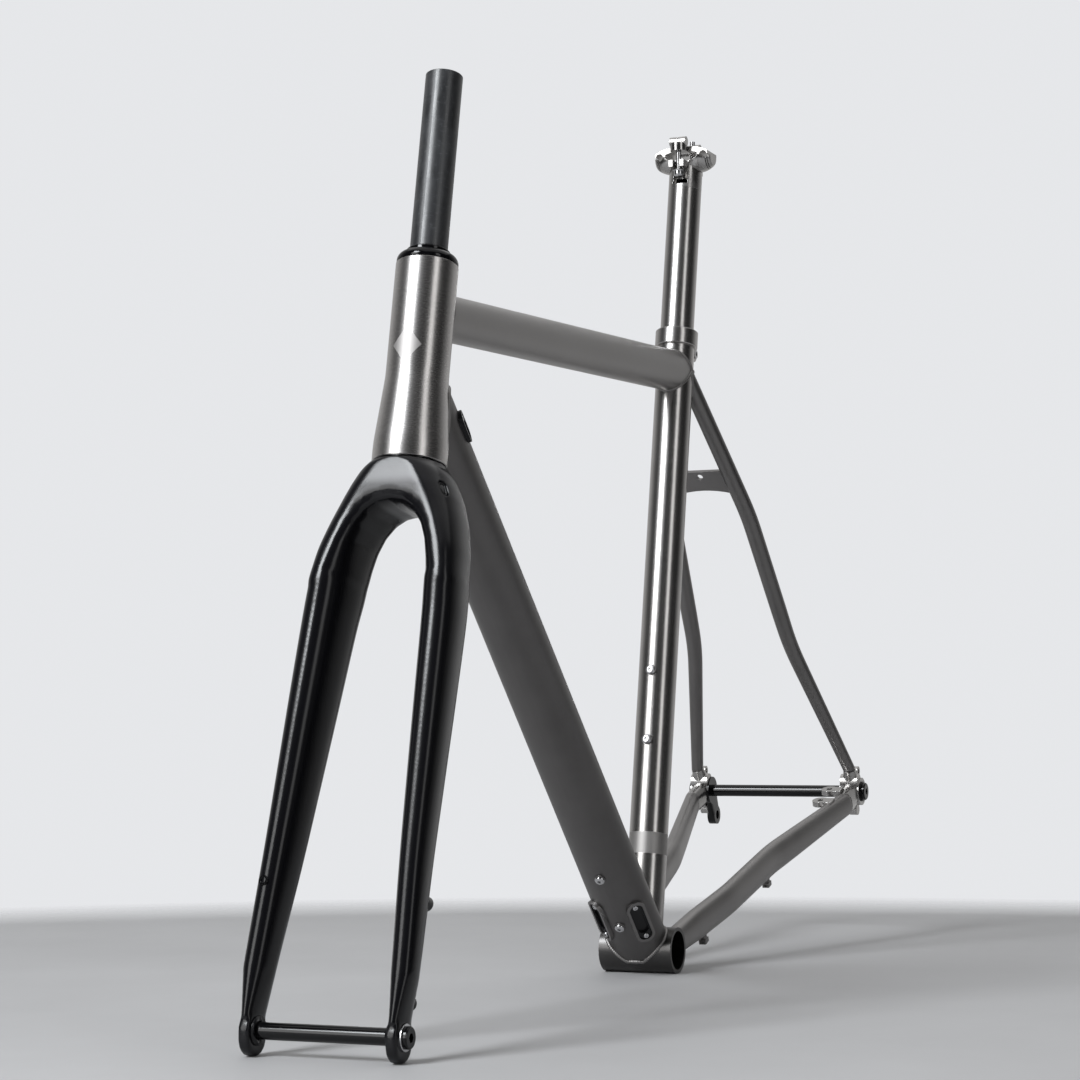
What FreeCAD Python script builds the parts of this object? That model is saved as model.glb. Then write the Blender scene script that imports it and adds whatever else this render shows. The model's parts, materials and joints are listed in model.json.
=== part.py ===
# Titanium gravel frame with a carbon fork, its headset, thru axles and two-bolt
# seatpost.  Millimetres.  Origin at the centre of the bottom bracket shell, +X
# forward, +Y to the rider's left, +Z up.  The frame stands on its bottom
# bracket shell and its two fork tips, nose down from its riding attitude.
import FreeCAD
import Part
import math
import os

V = FreeCAD.Vector

# ---------------------------------------------------------------- dimensions
STEER_LEAN = 11.824        # steering axis, degrees back from vertical
SEAT_LEAN = 10.717         # seat tube axis, degrees back from vertical
BB_R = 20.3                # bottom bracket shell, outside radius
BB_BORE_R = 17.1           # BSA thread, minor radius
BB_W = 68.0                # bottom bracket shell width
HEAD_BASE = V(474.98, 0, 394.11)   # centre of the head tube's lower face
HEAD_LEN = 155.9
HEAD_R_TOP = 23.58
HEAD_R_BOT = 27.93
STEERER_R = 14.3           # where the stem clamps
STEERER_LOW_R = 14.05      # inside the headset
STEERER_TOP = 310.2        # steerer end, above the head tube's lower face
SEAT_R = 17.45             # seat tube outside radius
SEAT_LEN = 579.0
POST_R = 15.8              # 31.6 mm seatpost
POST_FIT = 0.05            # radial running clearance of the post
TI_WALL = 0.9
STAY_R = 7.85
FRONT_AXLE = V(608.74, 0, -2.85)
REAR_AXLE = V(-403.56, 0, 128.19)
AXLE_R = 6.0               # 12 mm thru axles
AXLE_FIT = 0.05
FRONT_HALF = 50.0          # half of the 100 mm front spacing
REAR_HALF = 71.0           # half of the 142 mm rear spacing
BOSS_PITCH = 64.0          # bottle boss spacing
FLAT_MOUNT_REAR = 34.0     # rear flat-mount hole spacing
FLAT_MOUNT_FRONT = 70.0    # fork flat-mount hole spacing
RAIL_R = 3.5               # 7 mm saddle rails
RAIL_HALF = 22.0           # half of the 44 mm rail spacing
CLAMP_BOLT_X = 20.0        # saddle clamp bolts, before and behind the pivot
HEX_5 = 2.5                # half the width across flats of a 5 mm key

YDIR = V(0, 1, 0)
steer = math.radians(STEER_LEAN)
seat = math.radians(SEAT_LEAN)
S_UP = V(-math.sin(steer), 0, math.cos(steer))
S_FW = V(math.cos(steer), 0, math.sin(steer))
P_UP = V(-math.sin(seat), 0, math.cos(seat))
P_FW = V(math.cos(seat), 0, math.sin(seat))


# ------------------------------------------------------------------- helpers
def unit(v):
    return v * (1.0 / v.Length)


def mirror(shape):
    return shape.mirror(V(0, 0, 0), YDIR)


def place(shape, origin, z_dir, x_dir):
    z = unit(z_dir)
    y = unit(z.cross(x_dir))
    x = y.cross(z)
    m = FreeCAD.Matrix(x.x, y.x, z.x, origin.x,
                       x.y, y.y, z.y, origin.y,
                       x.z, y.z, z.z, origin.z,
                       0, 0, 0, 1)
    out = shape.copy()
    out.Placement = FreeCAD.Placement(m)
    return out


def rod(r, a, b):
    return Part.makeCylinder(r, (b - a).Length, a, b - a)


def taper(ra, rb, a, b):
    return Part.makeCone(ra, rb, (b - a).Length, a, b - a)


def box_at(centre, x_dir, z_dir, lx, ly, lz):
    b = Part.makeBox(lx, ly, lz, V(-lx / 2, -ly / 2, -lz / 2))
    return place(b, centre, z_dir, x_dir)


def turned(points, origin, axis, x_dir):
    # points are (radius, height); a point of four numbers is an arc end with
    # the arc's middle point first
    edges = []
    last = V(points[0][0], 0, points[0][1])
    first = last
    for p in points[1:]:
        if len(p) == 4:
            mid = V(p[0], 0, p[1])
            end = V(p[2], 0, p[3])
            edges.append(Part.Arc(last, mid, end).toShape())
        else:
            end = V(p[0], 0, p[1])
            edges.append(Part.LineSegment(last, end).toShape())
        last = end
    if (last - first).Length > 1e-6:
        edges.append(Part.LineSegment(last, first).toShape())
    face = Part.Face(Part.Wire(edges))
    solid = face.revolve(V(0, 0, 0), V(0, 0, 1), 360)
    return place(solid, origin, axis, x_dir)


def oval_wire(centre, a_dir, a, b_dir, b, power=2.0, count=24):
    pts = []
    for i in range(count):
        t = 2 * math.pi * i / count
        c = math.cos(t)
        s = math.sin(t)
        x = a * math.copysign(abs(c) ** (2 / power), c)
        y = b * math.copysign(abs(s) ** (2 / power), s)
        pts.append(centre + a_dir * x + b_dir * y)
    curve = Part.BSplineCurve()
    curve.interpolate(Points=pts, PeriodicFlag=True)
    return Part.Wire([curve.toShape()])


def loft(wires, ruled=False):
    return Part.makeLoft(wires, True, ruled)


def capsule(length, width, height, origin, z_dir, x_dir):
    # a slab with round ends, its long side along x_dir
    r = width / 2
    h = (length - width) / 2
    a = V(-h, r, 0)
    b = V(h, r, 0)
    c = V(h, -r, 0)
    d = V(-h, -r, 0)
    edges = [Part.LineSegment(a, b).toShape(),
             Part.Arc(b, V(h + r, 0, 0), c).toShape(),
             Part.LineSegment(c, d).toShape(),
             Part.Arc(d, V(-h - r, 0, 0), a).toShape()]
    solid = Part.Face(Part.Wire(edges)).extrude(V(0, 0, height))
    return place(solid, origin, z_dir, x_dir)


def hexagon(flat, depth, origin, z_dir, x_dir):
    # a hex socket, flat is half the width across flats
    r = flat / math.cos(math.pi / 6)
    pts = [V(r * math.cos(i * math.pi / 3), r * math.sin(i * math.pi / 3), 0)
           for i in range(7)]
    solid = Part.Face(Part.makePolygon(pts)).extrude(V(0, 0, depth))
    return place(solid, origin, z_dir, x_dir)


def button_screw(head_r, head_h, shank_r, shank_len, key, seat_at, z_dir, x_dir):
    # seat_at is the middle of the face under the head, z_dir points out
    dome = turned([(0, 0), (head_r, 0), (head_r, head_h * 0.3),
                   (head_r * 0.82, head_h * 0.82, head_r * 0.5, head_h),
                   (0, head_h)], seat_at, z_dir, x_dir)
    shank = rod(shank_r, seat_at, seat_at - unit(z_dir) * shank_len)
    socket = hexagon(key, head_h, seat_at + unit(z_dir) * head_h * 0.35,
                     z_dir, x_dir)
    return dome.fuse(shank).removeSplitter().cut(socket)


def bent_path(points, radius, step):
    # rounds the corners of a polyline in (along, side) coordinates and
    # returns evenly spaced points on it
    fine = [points[0]]
    for i in range(1, len(points) - 1):
        p = points[i]
        a = points[i - 1]
        b = points[i + 1]
        ua = unit(a - p)
        ub = unit(b - p)
        half = ua.getAngle(ub) / 2
        cut = min(radius / math.tan(half), 0.48 * min((a - p).Length, (b - p).Length))
        r = cut * math.tan(half)
        centre = p + unit(ua + ub) * (r / math.sin(half))
        start = p + ua * cut
        end = p + ub * cut
        for k in range(9):
            w = k / 8.0
            d = unit((start - centre) * (1 - w) + (end - centre) * w)
            fine.append(centre + d * r)
    fine.append(points[-1])
    marks = [0]
    for a, b in zip(fine, fine[1:]):
        marks.append(marks[-1] + (b - a).Length)
    count = max(2, int(round(marks[-1] / step)))
    out = []
    for i in range(count + 1):
        want = marks[-1] * i / count
        k = 1
        while k < len(marks) - 1 and marks[k] < want:
            k += 1
        w = (want - marks[k - 1]) / (marks[k] - marks[k - 1])
        out.append(fine[k - 1] * (1 - w) + fine[k] * w)
    return out


def stay(path, plane_n, sizes, power):
    # lofts oval sections along a path; sizes gives (half height, half width)
    # for a fraction of the way along
    wires = []
    total = 0
    lengths = [0]
    for i in range(1, len(path)):
        total += (path[i] - path[i - 1]).Length
        lengths.append(total)
    for i, p in enumerate(path):
        prev = path[max(0, i - 1)]
        nxt = path[min(len(path) - 1, i + 1)]
        d = unit(nxt - prev)
        side = unit(plane_n.cross(d))
        a, b = sizes(lengths[i] / total)
        wires.append(oval_wire(p, plane_n, a, side, b, power))
    return loft(wires, True)


parts = {}

# ---------------------------------------------------------------- head tube
FLARE_LOW = 14.0           # the flare is a cone between these two heights
FLARE_HIGH = 66.0
FLARE_BLEND = 5.0          # each end of the cone is rounded over this length
flare_step = FLARE_BLEND * (HEAD_R_BOT - HEAD_R_TOP) / (FLARE_HIGH - FLARE_LOW)
flare_sag = flare_step / 4
head_outline = [(0, 0), (HEAD_R_BOT - 0.6, 0), (HEAD_R_BOT, 0.6),
                (HEAD_R_BOT, FLARE_LOW - FLARE_BLEND),
                (HEAD_R_BOT - flare_sag, FLARE_LOW,
                 HEAD_R_BOT - flare_step, FLARE_LOW + FLARE_BLEND),
                (HEAD_R_TOP + flare_step, FLARE_HIGH - FLARE_BLEND),
                (HEAD_R_TOP + flare_sag, FLARE_HIGH,
                 HEAD_R_TOP, FLARE_HIGH + FLARE_BLEND),
                (HEAD_R_TOP, HEAD_LEN - 0.6), (HEAD_R_TOP - 0.6, HEAD_LEN),
                (0, HEAD_LEN)]
head_outer = turned(head_outline, HEAD_BASE, S_UP, S_FW)
LOWER_CUP_R = 26.0
UPPER_CUP_R = 21.0
head_bore = turned([(0, -1), (LOWER_CUP_R, -1), (LOWER_CUP_R, 7.8),
                    (LOWER_CUP_R - 2.2, 10.0), (LOWER_CUP_R - 2.2, 24),
                    (20.4, 70), (20.4, HEAD_LEN - 10.0),
                    (UPPER_CUP_R - 2.0, HEAD_LEN - 9.6),
                    (UPPER_CUP_R, HEAD_LEN - 7.8), (UPPER_CUP_R, HEAD_LEN + 1),
                    (0, HEAD_LEN + 1)], HEAD_BASE, S_UP, S_FW)
parts["head_tube"] = head_outer.cut(head_bore)

# ------------------------------------------------------ bottom bracket shell
bb_outer = Part.makeCylinder(BB_R, BB_W, V(0, -BB_W / 2, 0), YDIR)
bb_bore = Part.makeCylinder(BB_BORE_R, BB_W + 2, V(0, -BB_W / 2 - 1, 0), YDIR)
parts["bottom_bracket_shell"] = bb_outer.cut(bb_bore)

# ---------------------------------------------------------------- seat tube
seat_top = P_UP * SEAT_LEN
seat_outer = rod(SEAT_R, V(0, 0, 0), seat_top)
seat_bore = rod(POST_R + POST_FIT, P_UP * 240, seat_top + P_UP)
seat_low_bore = rod(SEAT_R - TI_WALL, P_UP * -2, P_UP * 240.5)
seat_slot = box_at(P_UP * (SEAT_LEN - 20) - P_FW * SEAT_R, P_FW, P_UP, 8, 2.4, 50)
seat_tube = seat_outer.cut(seat_bore.fuse(seat_low_bore)).cut(bb_outer)
seat_tube = seat_tube.cut(seat_slot)

# ----------------------------------------------------------------- top tube
TOP_A = V(450.7, 0, 509.9)
TOP_B = P_UP * 541.4
top_dir = unit(TOP_A - TOP_B)
top_n = unit(V(-top_dir.z, 0, top_dir.x))


def top_shell(inset):
    wires = [oval_wire(TOP_B, top_n, 19.5 - inset, YDIR, 17.35 - inset),
             oval_wire(TOP_A, top_n, 17.6 - inset, YDIR, 17.6 - inset)]
    return loft(wires, True)


top_outer = top_shell(0)
parts["top_tube"] = top_outer.cut(top_shell(TI_WALL)).cut(head_outer).cut(seat_outer)

# ---------------------------------------------------------------- down tube
DOWN_A = V(463.3, 0, 449.6)
down_dir = unit(DOWN_A)
down_n = V(down_dir.z, 0, -down_dir.x)     # out of the tube's underside
DOWN_LEN = DOWN_A.Length
DOWN_SIZES = (20.0, 27.75, 23.3, 23.3)     # depth, width at the shell, then head


def down_shell(inset):
    wires = [oval_wire(V(0, 0, 0), down_n, DOWN_SIZES[0] - inset,
                       YDIR, DOWN_SIZES[1] - inset),
             oval_wire(DOWN_A, down_n, DOWN_SIZES[2] - inset,
                       YDIR, DOWN_SIZES[3] - inset)]
    return loft(wires, True)


def down_point(along, angle):
    # surface point and outward normal of the down tube, angle from its
    # underside towards the rider's left
    w = along / DOWN_LEN
    a = DOWN_SIZES[0] * (1 - w) + DOWN_SIZES[2] * w
    b = DOWN_SIZES[1] * (1 - w) + DOWN_SIZES[3] * w
    t = math.radians(angle)
    p = down_dir * along + down_n * (a * math.cos(t)) + YDIR * (b * math.sin(t))
    n = unit(down_n * (b * math.cos(t)) + YDIR * (a * math.sin(t)))
    return p, n


down_outer = down_shell(0)
down_tube = down_outer.cut(down_shell(TI_WALL + 0.1)).cut(head_outer)
down_tube = down_tube.cut(bb_outer).cut(seat_outer)

# --------------------------------------------------------------- bottle bosses
BOSS_R = 4.6
boss_places = []
for along in (219.0 - BOSS_PITCH / 2, 219.0 + BOSS_PITCH / 2):
    boss_places.append((P_UP * along + P_FW * SEAT_R, P_FW, P_UP))
for along in (88.0 - BOSS_PITCH / 2, 88.0 + BOSS_PITCH / 2):
    p, n = down_point(along, 0)
    boss_places.append((p, n, down_dir))
for along in (330.0 - BOSS_PITCH / 2, 330.0 + BOSS_PITCH / 2):
    p, n = down_point(along, 180)
    boss_places.append((p, n, down_dir))
bosses = []
screws = []
for p, n, x in boss_places:
    flange = turned([(2.5, -7), (BOSS_R - 0.6, -7), (BOSS_R, -1.2), (BOSS_R, 0.5),
                     (BOSS_R - 0.6, 1.1), (2.5, 1.1)], p, n, x)
    plug = rod(BOSS_R, p - n * 7, p + n * 4)
    seat_tube = seat_tube.cut(plug)
    down_tube = down_tube.cut(plug)
    bosses.append(flange)
    screws.append(button_screw(4.5, 2.7, 2.45, 9, 1.5, p + n * 1.12, n, x))
parts["bottle_bosses"] = Part.makeCompound(bosses)
parts["bottle_screws"] = Part.makeCompound(screws)

# ----------------------------------------------------------------- cable ports
port_frames = {"lower_port_frames": [], "upper_port_frames": []}
port_inserts = {"lower_port_inserts": [], "upper_port_inserts": []}
port_screws = []
PORTS = (("lower", 58.0, 42.0, 50.0, 17.0), ("upper", 603.0, 112.0, 28.0, 13.0))
for level, along, angle, length, width in PORTS:
    for side in (1, -1):
        p, n = down_point(along, angle * side)
        outer = capsule(length, width, 7.2, p - n * 5, n, down_dir)
        window = capsule(length - 6, width - 5, 20, p - n * 9, n, down_dir)
        down_tube = down_tube.cut(capsule(length, width, 14, p - n * 5, n, down_dir))
        port_frames[level + "_port_frames"].append(outer.cut(window).cut(head_outer))
        plate = capsule(length - 6.2, width - 5.2, 5.4, p - n * 4.6, n, down_dir)
        dish = capsule(length - 21, width - 7.6, 4, p - n * 1.2, n, down_dir)
        ends = (1, -1) if level == "lower" else (1,)
        plate = plate.cut(dish)
        for end in ends:
            q = p + down_dir * end * (length / 2 - 6.4)
            plate = plate.cut(rod(1.25, q - n * 9, q + n * 9))
            port_screws.append(button_screw(2.6, 1.5, 1.2, 4.6, 1.0,
                                            q + n * 0.82, n, down_dir))
        port_inserts[level + "_port_inserts"].append(plate)
for table in (port_frames, port_inserts):
    for name, solids in table.items():
        parts[name] = Part.makeCompound(solids)
parts["port_screws"] = Part.makeCompound(port_screws)
parts["seat_tube"] = seat_tube
parts["down_tube"] = down_tube

# ------------------------------------------------------------------ chainstays
CHAIN_A = V(-14, 0, 4)
CHAIN_B = V(-389.56, 0, 122.19)
chain_dir = unit(CHAIN_B - CHAIN_A)
chain_n = V(chain_dir.z, 0, -chain_dir.x)
CHAIN_PATH = ((0, 22), (110, 41), (215, 50.5), (374, 82.5))
CHAIN_WALL = 1.0


def chain_sizes(inset):
    def sizes(w):
        if w < 0.12:
            a = 12.0 + 2.5 * w / 0.12
        elif w < 0.62:
            a = 14.5
        else:
            a = 14.5 - 2.8 * (w - 0.62) / 0.38
        b = 8.6 if w < 0.7 else 8.6 - 1.0 * (w - 0.7) / 0.3
        return a - inset, b - inset
    return sizes


def chain_point(along, side):
    return CHAIN_A + chain_dir * along + YDIR * side


def side_at(table, along):
    for (a, ya), (b, yb) in zip(table, table[1:]):
        if along <= b:
            return ya + (yb - ya) * (along - a) / (b - a)
    return table[-1][1]


flat_path = [V(a, b, 0) for a, b in CHAIN_PATH]
chain_line = [chain_point(p.x, p.y) for p in bent_path(flat_path, 260, 13)]
chain_outer = stay(chain_line, chain_n, chain_sizes(0), 2.3)
chain_inner = stay(chain_line, chain_n, chain_sizes(CHAIN_WALL), 2.3)

# ------------------------------------------------------------------- seatstays
STAY_A = V(-393.0, 0, 144.0)
STAY_B = V(-100.5, 0, 530.8)
stay_dir = unit(STAY_B - STAY_A)
stay_n = V(-stay_dir.z, 0, stay_dir.x)
STAY_PATH = ((9, 82.3), (166, 50.3), (322, 39.3), (483, 10.0))


def stay_sizes(inset):
    def sizes(w):
        r = STAY_R if w > 0.42 else STAY_R - 1.75 * (0.42 - w) / 0.42
        return r - inset, r - inset
    return sizes


flat_path = [V(a, b, 0) for a, b in STAY_PATH]
stay_line = [STAY_A + stay_dir * p.x + YDIR * p.y for p in bent_path(flat_path, 330, 14)]
stay_outer = stay(stay_line, stay_n, stay_sizes(0), 2.0)
stay_inner = stay(stay_line, stay_n, stay_sizes(TI_WALL), 2.0)

# --------------------------------------------------------------------- dropouts
DROP_MID = 81.0
DROP_W = 20.0
DROP_R = 14.0
LOBE = V(REAR_AXLE.x - 5, 0, REAR_AXLE.z - 18.5)
LOBE_R = 5.8


def dropout(inner):
    # the left-hand dropout, its inner face at the given side distance
    outer_y = DROP_MID + DROP_W / 2
    barrel = rod(DROP_R, REAR_AXLE + YDIR * inner, REAR_AXLE + YDIR * outer_y)
    root = REAR_AXLE + YDIR * DROP_MID
    horn = taper(6.2, 8.6, stay_line[0], root + V(4, 0, 6))
    sock = loft([oval_wire(chain_line[-1], chain_n, 11.7, YDIR, 7.6, 2.3),
                 oval_wire(root + V(6, 0, -2), chain_n, 12.5, YDIR, 9.4, 2.3)], True)
    lobe = rod(LOBE_R, LOBE + YDIR * (DROP_MID - 4), LOBE + YDIR * (DROP_MID + 4))
    web = loft([oval_wire(V(REAR_AXLE.x, DROP_MID, REAR_AXLE.z), V(1, 0, 0), 12,
                          YDIR, 4.0),
                oval_wire(LOBE + YDIR * DROP_MID, V(1, 0, 0), LOBE_R - 0.1,
                          YDIR, 4.0)], True)
    hood = rod(8.0, V(REAR_AXLE.x + 8, DROP_MID - 9, REAR_AXLE.z + 10),
               V(REAR_AXLE.x + 8, DROP_MID + 9, REAR_AXLE.z + 10))
    body = barrel
    for piece in (horn, sock, lobe, web, hood):
        body = body.fuse(piece)
    return body


drop_left = dropout(REAR_HALF)
HANGER_T = 4.6
drop_right = mirror(dropout(REAR_HALF + HANGER_T))
left_bore = rod(AXLE_R + AXLE_FIT, REAR_AXLE, REAR_AXLE + YDIR * 120)
HANGER_BOSS_R = 9.9
right_bore = rod(HANGER_BOSS_R, REAR_AXLE - YDIR * 60, REAR_AXLE - YDIR * 120)

# small fender eyelet with its spur at the back of the left dropout, and its twin
EYE = V(REAR_AXLE.x - 7.5, DROP_MID + 2, REAR_AXLE.z + 20.5)


def eyelet():
    ring = rod(5.0, EYE - YDIR * 2.4, EYE + YDIR * 2.4)
    foot = loft([oval_wire(EYE + V(0.5, 0, -3.5), V(1, 0, 0), 4.0, YDIR, 2.3),
                 oval_wire(EYE + V(2.5, 0, -11), V(1, 0, 0), 7.0, YDIR, 4.0)], True)
    return ring.fuse(foot).cut(rod(2.5, EYE - YDIR * 9, EYE + YDIR * 9))


eye_left = eyelet()
drop_left = drop_left.fuse(eye_left)
drop_right = drop_right.fuse(mirror(eye_left))
parts["dropout_left"] = drop_left.cut(left_bore)
parts["dropout_right"] = drop_right.cut(right_bore)

chain_solid = chain_outer.cut(chain_inner)
stay_solid = stay_outer.cut(stay_inner)
both = {"left": (lambda s: s, drop_left), "right": (mirror, drop_right)}
for side, (flip, drop) in both.items():
    cs = flip(chain_solid).cut(bb_outer).cut(seat_outer).cut(down_outer).cut(drop)
    parts["chainstay_" + side] = cs
    parts["seatstay_" + side] = flip(stay_solid).cut(seat_outer).cut(drop)

# -------------------------------------------------------------- seatstay bridge
BRIDGE_TOP = 375.0
BRIDGE_LOW = 352.0
BRIDGE_T = 3.5
bridge_o = STAY_A + stay_dir * BRIDGE_TOP
half_top = side_at(STAY_PATH, BRIDGE_TOP)
half_low = side_at(STAY_PATH, BRIDGE_LOW - 5)
drop_mid = BRIDGE_LOW - BRIDGE_TOP
p1 = V(-half_top, 0, 0)
p2 = V(half_top, 0, 0)
p3 = V(half_low, drop_mid - 5, 0)
p4 = V(-half_low, drop_mid - 5, 0)
edges = [Part.LineSegment(p1, p2).toShape(), Part.LineSegment(p2, p3).toShape(),
         Part.Arc(p3, V(0, drop_mid + 1.5, 0), p4).toShape(),
         Part.LineSegment(p4, p1).toShape()]
plate = Part.Face(Part.Wire(edges)).extrude(V(0, 0, BRIDGE_T))
plate = place(plate, bridge_o - stay_n * (BRIDGE_T / 2), stay_n, YDIR * -1)
bridge_hole = STAY_A + stay_dir * (BRIDGE_TOP - 6.2)
plate = plate.cut(rod(3.0, bridge_hole - stay_n * 9, bridge_hole + stay_n * 9))
plate = plate.cut(stay_outer).cut(mirror(stay_outer))
parts["seatstay_bridge"] = plate

# ------------------------------------------------------------------- brake tabs
TAB_Y = 65.5
TAB_HOLES = (V(-372.0, TAB_Y, 131.5), )
TAB_HOLES = TAB_HOLES + (TAB_HOLES[0] - chain_dir * FLAT_MOUNT_REAR, )
tabs = []
for hole in TAB_HOLES:
    pad = rod(8.2, hole - chain_n * 5.0, hole)
    arm = box_at(hole + YDIR * 6 - chain_n * 2.5, chain_dir, chain_n, 13.0, 14.0, 5.0)
    gusset = loft([oval_wire(hole + YDIR * 9 - chain_n * 4, chain_dir, 5.0,
                             YDIR, 6.0),
                   oval_wire(hole + YDIR * 11 - chain_n * 15, chain_dir, 4.0,
                             YDIR, 4.0)], True)
    tab = pad.fuse(arm).fuse(gusset).removeSplitter()
    tab = tab.cut(rod(2.75, hole - chain_n * 20, hole + chain_n * 5))
    tab = tab.cut(chain_outer).cut(drop_left)
    keep = [s for s in tab.Solids if s.Volume > 200]
    keep.sort(key=lambda s: -s.Volume)
    tabs.append(keep[0])
parts["brake_tabs"] = Part.makeCompound(tabs)

# ----------------------------------------------------------- chainstay guides
guides = []
GUIDE_SPANS = (4, 15)      # which spans of the stay's path carry a guide
for k in GUIDE_SPANS:
    base = (chain_line[k] + chain_line[k + 1]) * 0.5 - chain_n * 14.5
    post = rod(3.2, base, base - chain_n * 5.0)
    clip = box_at(base - chain_n * 5.5, chain_dir, chain_n, 9.0, 6.5, 4.4)
    guide = post.fuse(clip).removeSplitter()
    guide = guide.cut(rod(1.4, base - chain_n * 5.5 - chain_dir * 9,
                          base - chain_n * 5.5 + chain_dir * 9))
    guides.append(guide)
parts["chainstay_guides"] = Part.makeCompound(guides)

# --------------------------------------------------------------- hanger and bolt
hang_in = REAR_AXLE - YDIR * REAR_HALF
hang_out = REAR_AXLE - YDIR * (REAR_HALF + HANGER_T)
HANG_HOLE = V(REAR_AXLE.x - 14.0, 0, REAR_AXLE.z - 26.0)
disc = rod(14.4, hang_in, hang_out)
foot_c = HANG_HOLE - YDIR * REAR_HALF
foot = rod(9.6, foot_c, foot_c - YDIR * 8.0)
bridge = loft([oval_wire(REAR_AXLE - YDIR * (REAR_HALF + 2.3), V(0.88, 0, -0.47),
                         12.5, YDIR, 2.28, 6.0),
               oval_wire(HANG_HOLE - YDIR * (REAR_HALF + 4.0), V(0.88, 0, -0.47),
                         9.4, YDIR, 3.96, 6.0)], True)
boss = rod(HANGER_BOSS_R, hang_out, hang_out - YDIR * 6.0)
hanger = disc.fuse(foot).fuse(bridge).fuse(boss)
hanger = hanger.cut(drop_right.cut(right_bore))
hanger = hanger.cut(rod(AXLE_R + AXLE_FIT, REAR_AXLE, REAR_AXLE - YDIR * 120))
hanger = hanger.cut(rod(4.6, foot_c + YDIR * 9, foot_c - YDIR * 30))
hanger_solids = sorted(hanger.Solids, key=lambda s: -s.Volume)
parts["derailleur_hanger"] = hanger_solids[0]
bolt_face = REAR_AXLE - YDIR * (DROP_MID + DROP_W / 2)
flange = turned([(6.6, -7.4), (HANGER_BOSS_R, -7.4), (HANGER_BOSS_R, 0),
                 (12.0, 0), (12.0, 1.2), (10.8, 2.4), (6.6, 2.4)],
                bolt_face, YDIR * -1, V(1, 0, 0))
parts["hanger_bolt"] = flange

# -------------------------------------------------------------------- seat collar
COLLAR_LOW = 564.7
COLLAR_HIGH = 580.0
COLLAR_R = 20.1
collar = turned([(SEAT_R, COLLAR_LOW), (COLLAR_R - 0.5, COLLAR_LOW),
                 (COLLAR_R, COLLAR_LOW + 0.5), (COLLAR_R, COLLAR_HIGH - 0.5),
                 (COLLAR_R - 0.5, COLLAR_HIGH), (POST_R + 0.35, COLLAR_HIGH),
                 (POST_R + 0.35, SEAT_LEN), (SEAT_R, SEAT_LEN)],
                V(0, 0, 0), P_UP, P_FW)
EAR_S = 566.5
ear_c = P_UP * EAR_S - P_FW * 24.0
ear = rod(8.2, ear_c - YDIR * 9.5, ear_c + YDIR * 9.5)
ear_root = box_at(P_UP * (EAR_S + 5.7) - P_FW * 20.0, P_FW, P_UP, 9.0, 19.0, 15.5)
ear_cut = rod(SEAT_R, P_UP * 540, P_UP * SEAT_LEN)
ear_cut = ear_cut.fuse(rod(POST_R + 0.35, P_UP * 540, P_UP * 600))
collar = collar.fuse(ear).fuse(ear_root).cut(ear_cut)
collar = collar.cut(rod(SEAT_R + 0.3, P_UP * 530, P_UP * COLLAR_LOW))
collar = collar.cut(box_at(P_UP * 570 - P_FW * 27, P_FW, P_UP, 24, 2.4, 60))
collar_bore = rod(2.6, ear_c - YDIR * 20 - P_FW * 2.5, ear_c + YDIR * 20 - P_FW * 2.5)
collar_head = rod(4.4, ear_c + YDIR * 6.0 - P_FW * 2.5, ear_c + YDIR * 20 - P_FW * 2.5)
parts["seat_collar"] = collar.cut(collar_bore).cut(collar_head).removeSplitter()
bolt_o = ear_c - P_FW * 2.5
bolt = rod(4.2, bolt_o + YDIR * 6.0, bolt_o + YDIR * 11.0)
bolt = bolt.fuse(rod(2.5, bolt_o - YDIR * 8.5, bolt_o + YDIR * 6.0)).removeSplitter()
parts["seat_collar_bolt"] = bolt.cut(hexagon(2.0, 4, bolt_o + YDIR * 8.4, YDIR, P_UP))


# ----------------------------------------------------------------- headset
def ball_bearing(inner_r, outer_r, low, high, ball_r, count, name):
    pitch = (inner_r + outer_r) / 2
    mid = (low + high) / 2
    gap = ball_r * 0.45
    run = 0.06
    groove = turned([(pitch - ball_r - run, mid),
                     (pitch, mid + ball_r + run, pitch + ball_r + run, mid),
                     (pitch, mid - ball_r - run, pitch - ball_r - run, mid)],
                    HEAD_BASE, S_UP, S_FW)
    ch = 0.9
    inner = turned([(inner_r, low + ch), (inner_r + ch, low), (pitch - gap, low),
                    (pitch - gap, high), (inner_r + ch, high),
                    (inner_r, high - ch)], HEAD_BASE, S_UP, S_FW)
    outer = turned([(pitch + gap, low), (outer_r - ch, low), (outer_r, low + ch),
                    (outer_r, high - ch), (outer_r - ch, high),
                    (pitch + gap, high)], HEAD_BASE, S_UP, S_FW)
    parts[name + "_inner"] = inner.cut(groove)
    parts[name + "_outer"] = outer.cut(groove)
    balls = []
    for i in range(count):
        t = 2 * math.pi * i / count
        c = (HEAD_BASE + S_UP * mid + S_FW * (pitch * math.cos(t))
             + YDIR * (pitch * math.sin(t)))
        balls.append(Part.makeSphere(ball_r, c))
    parts[name + "_balls"] = Part.makeCompound(balls)


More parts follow.
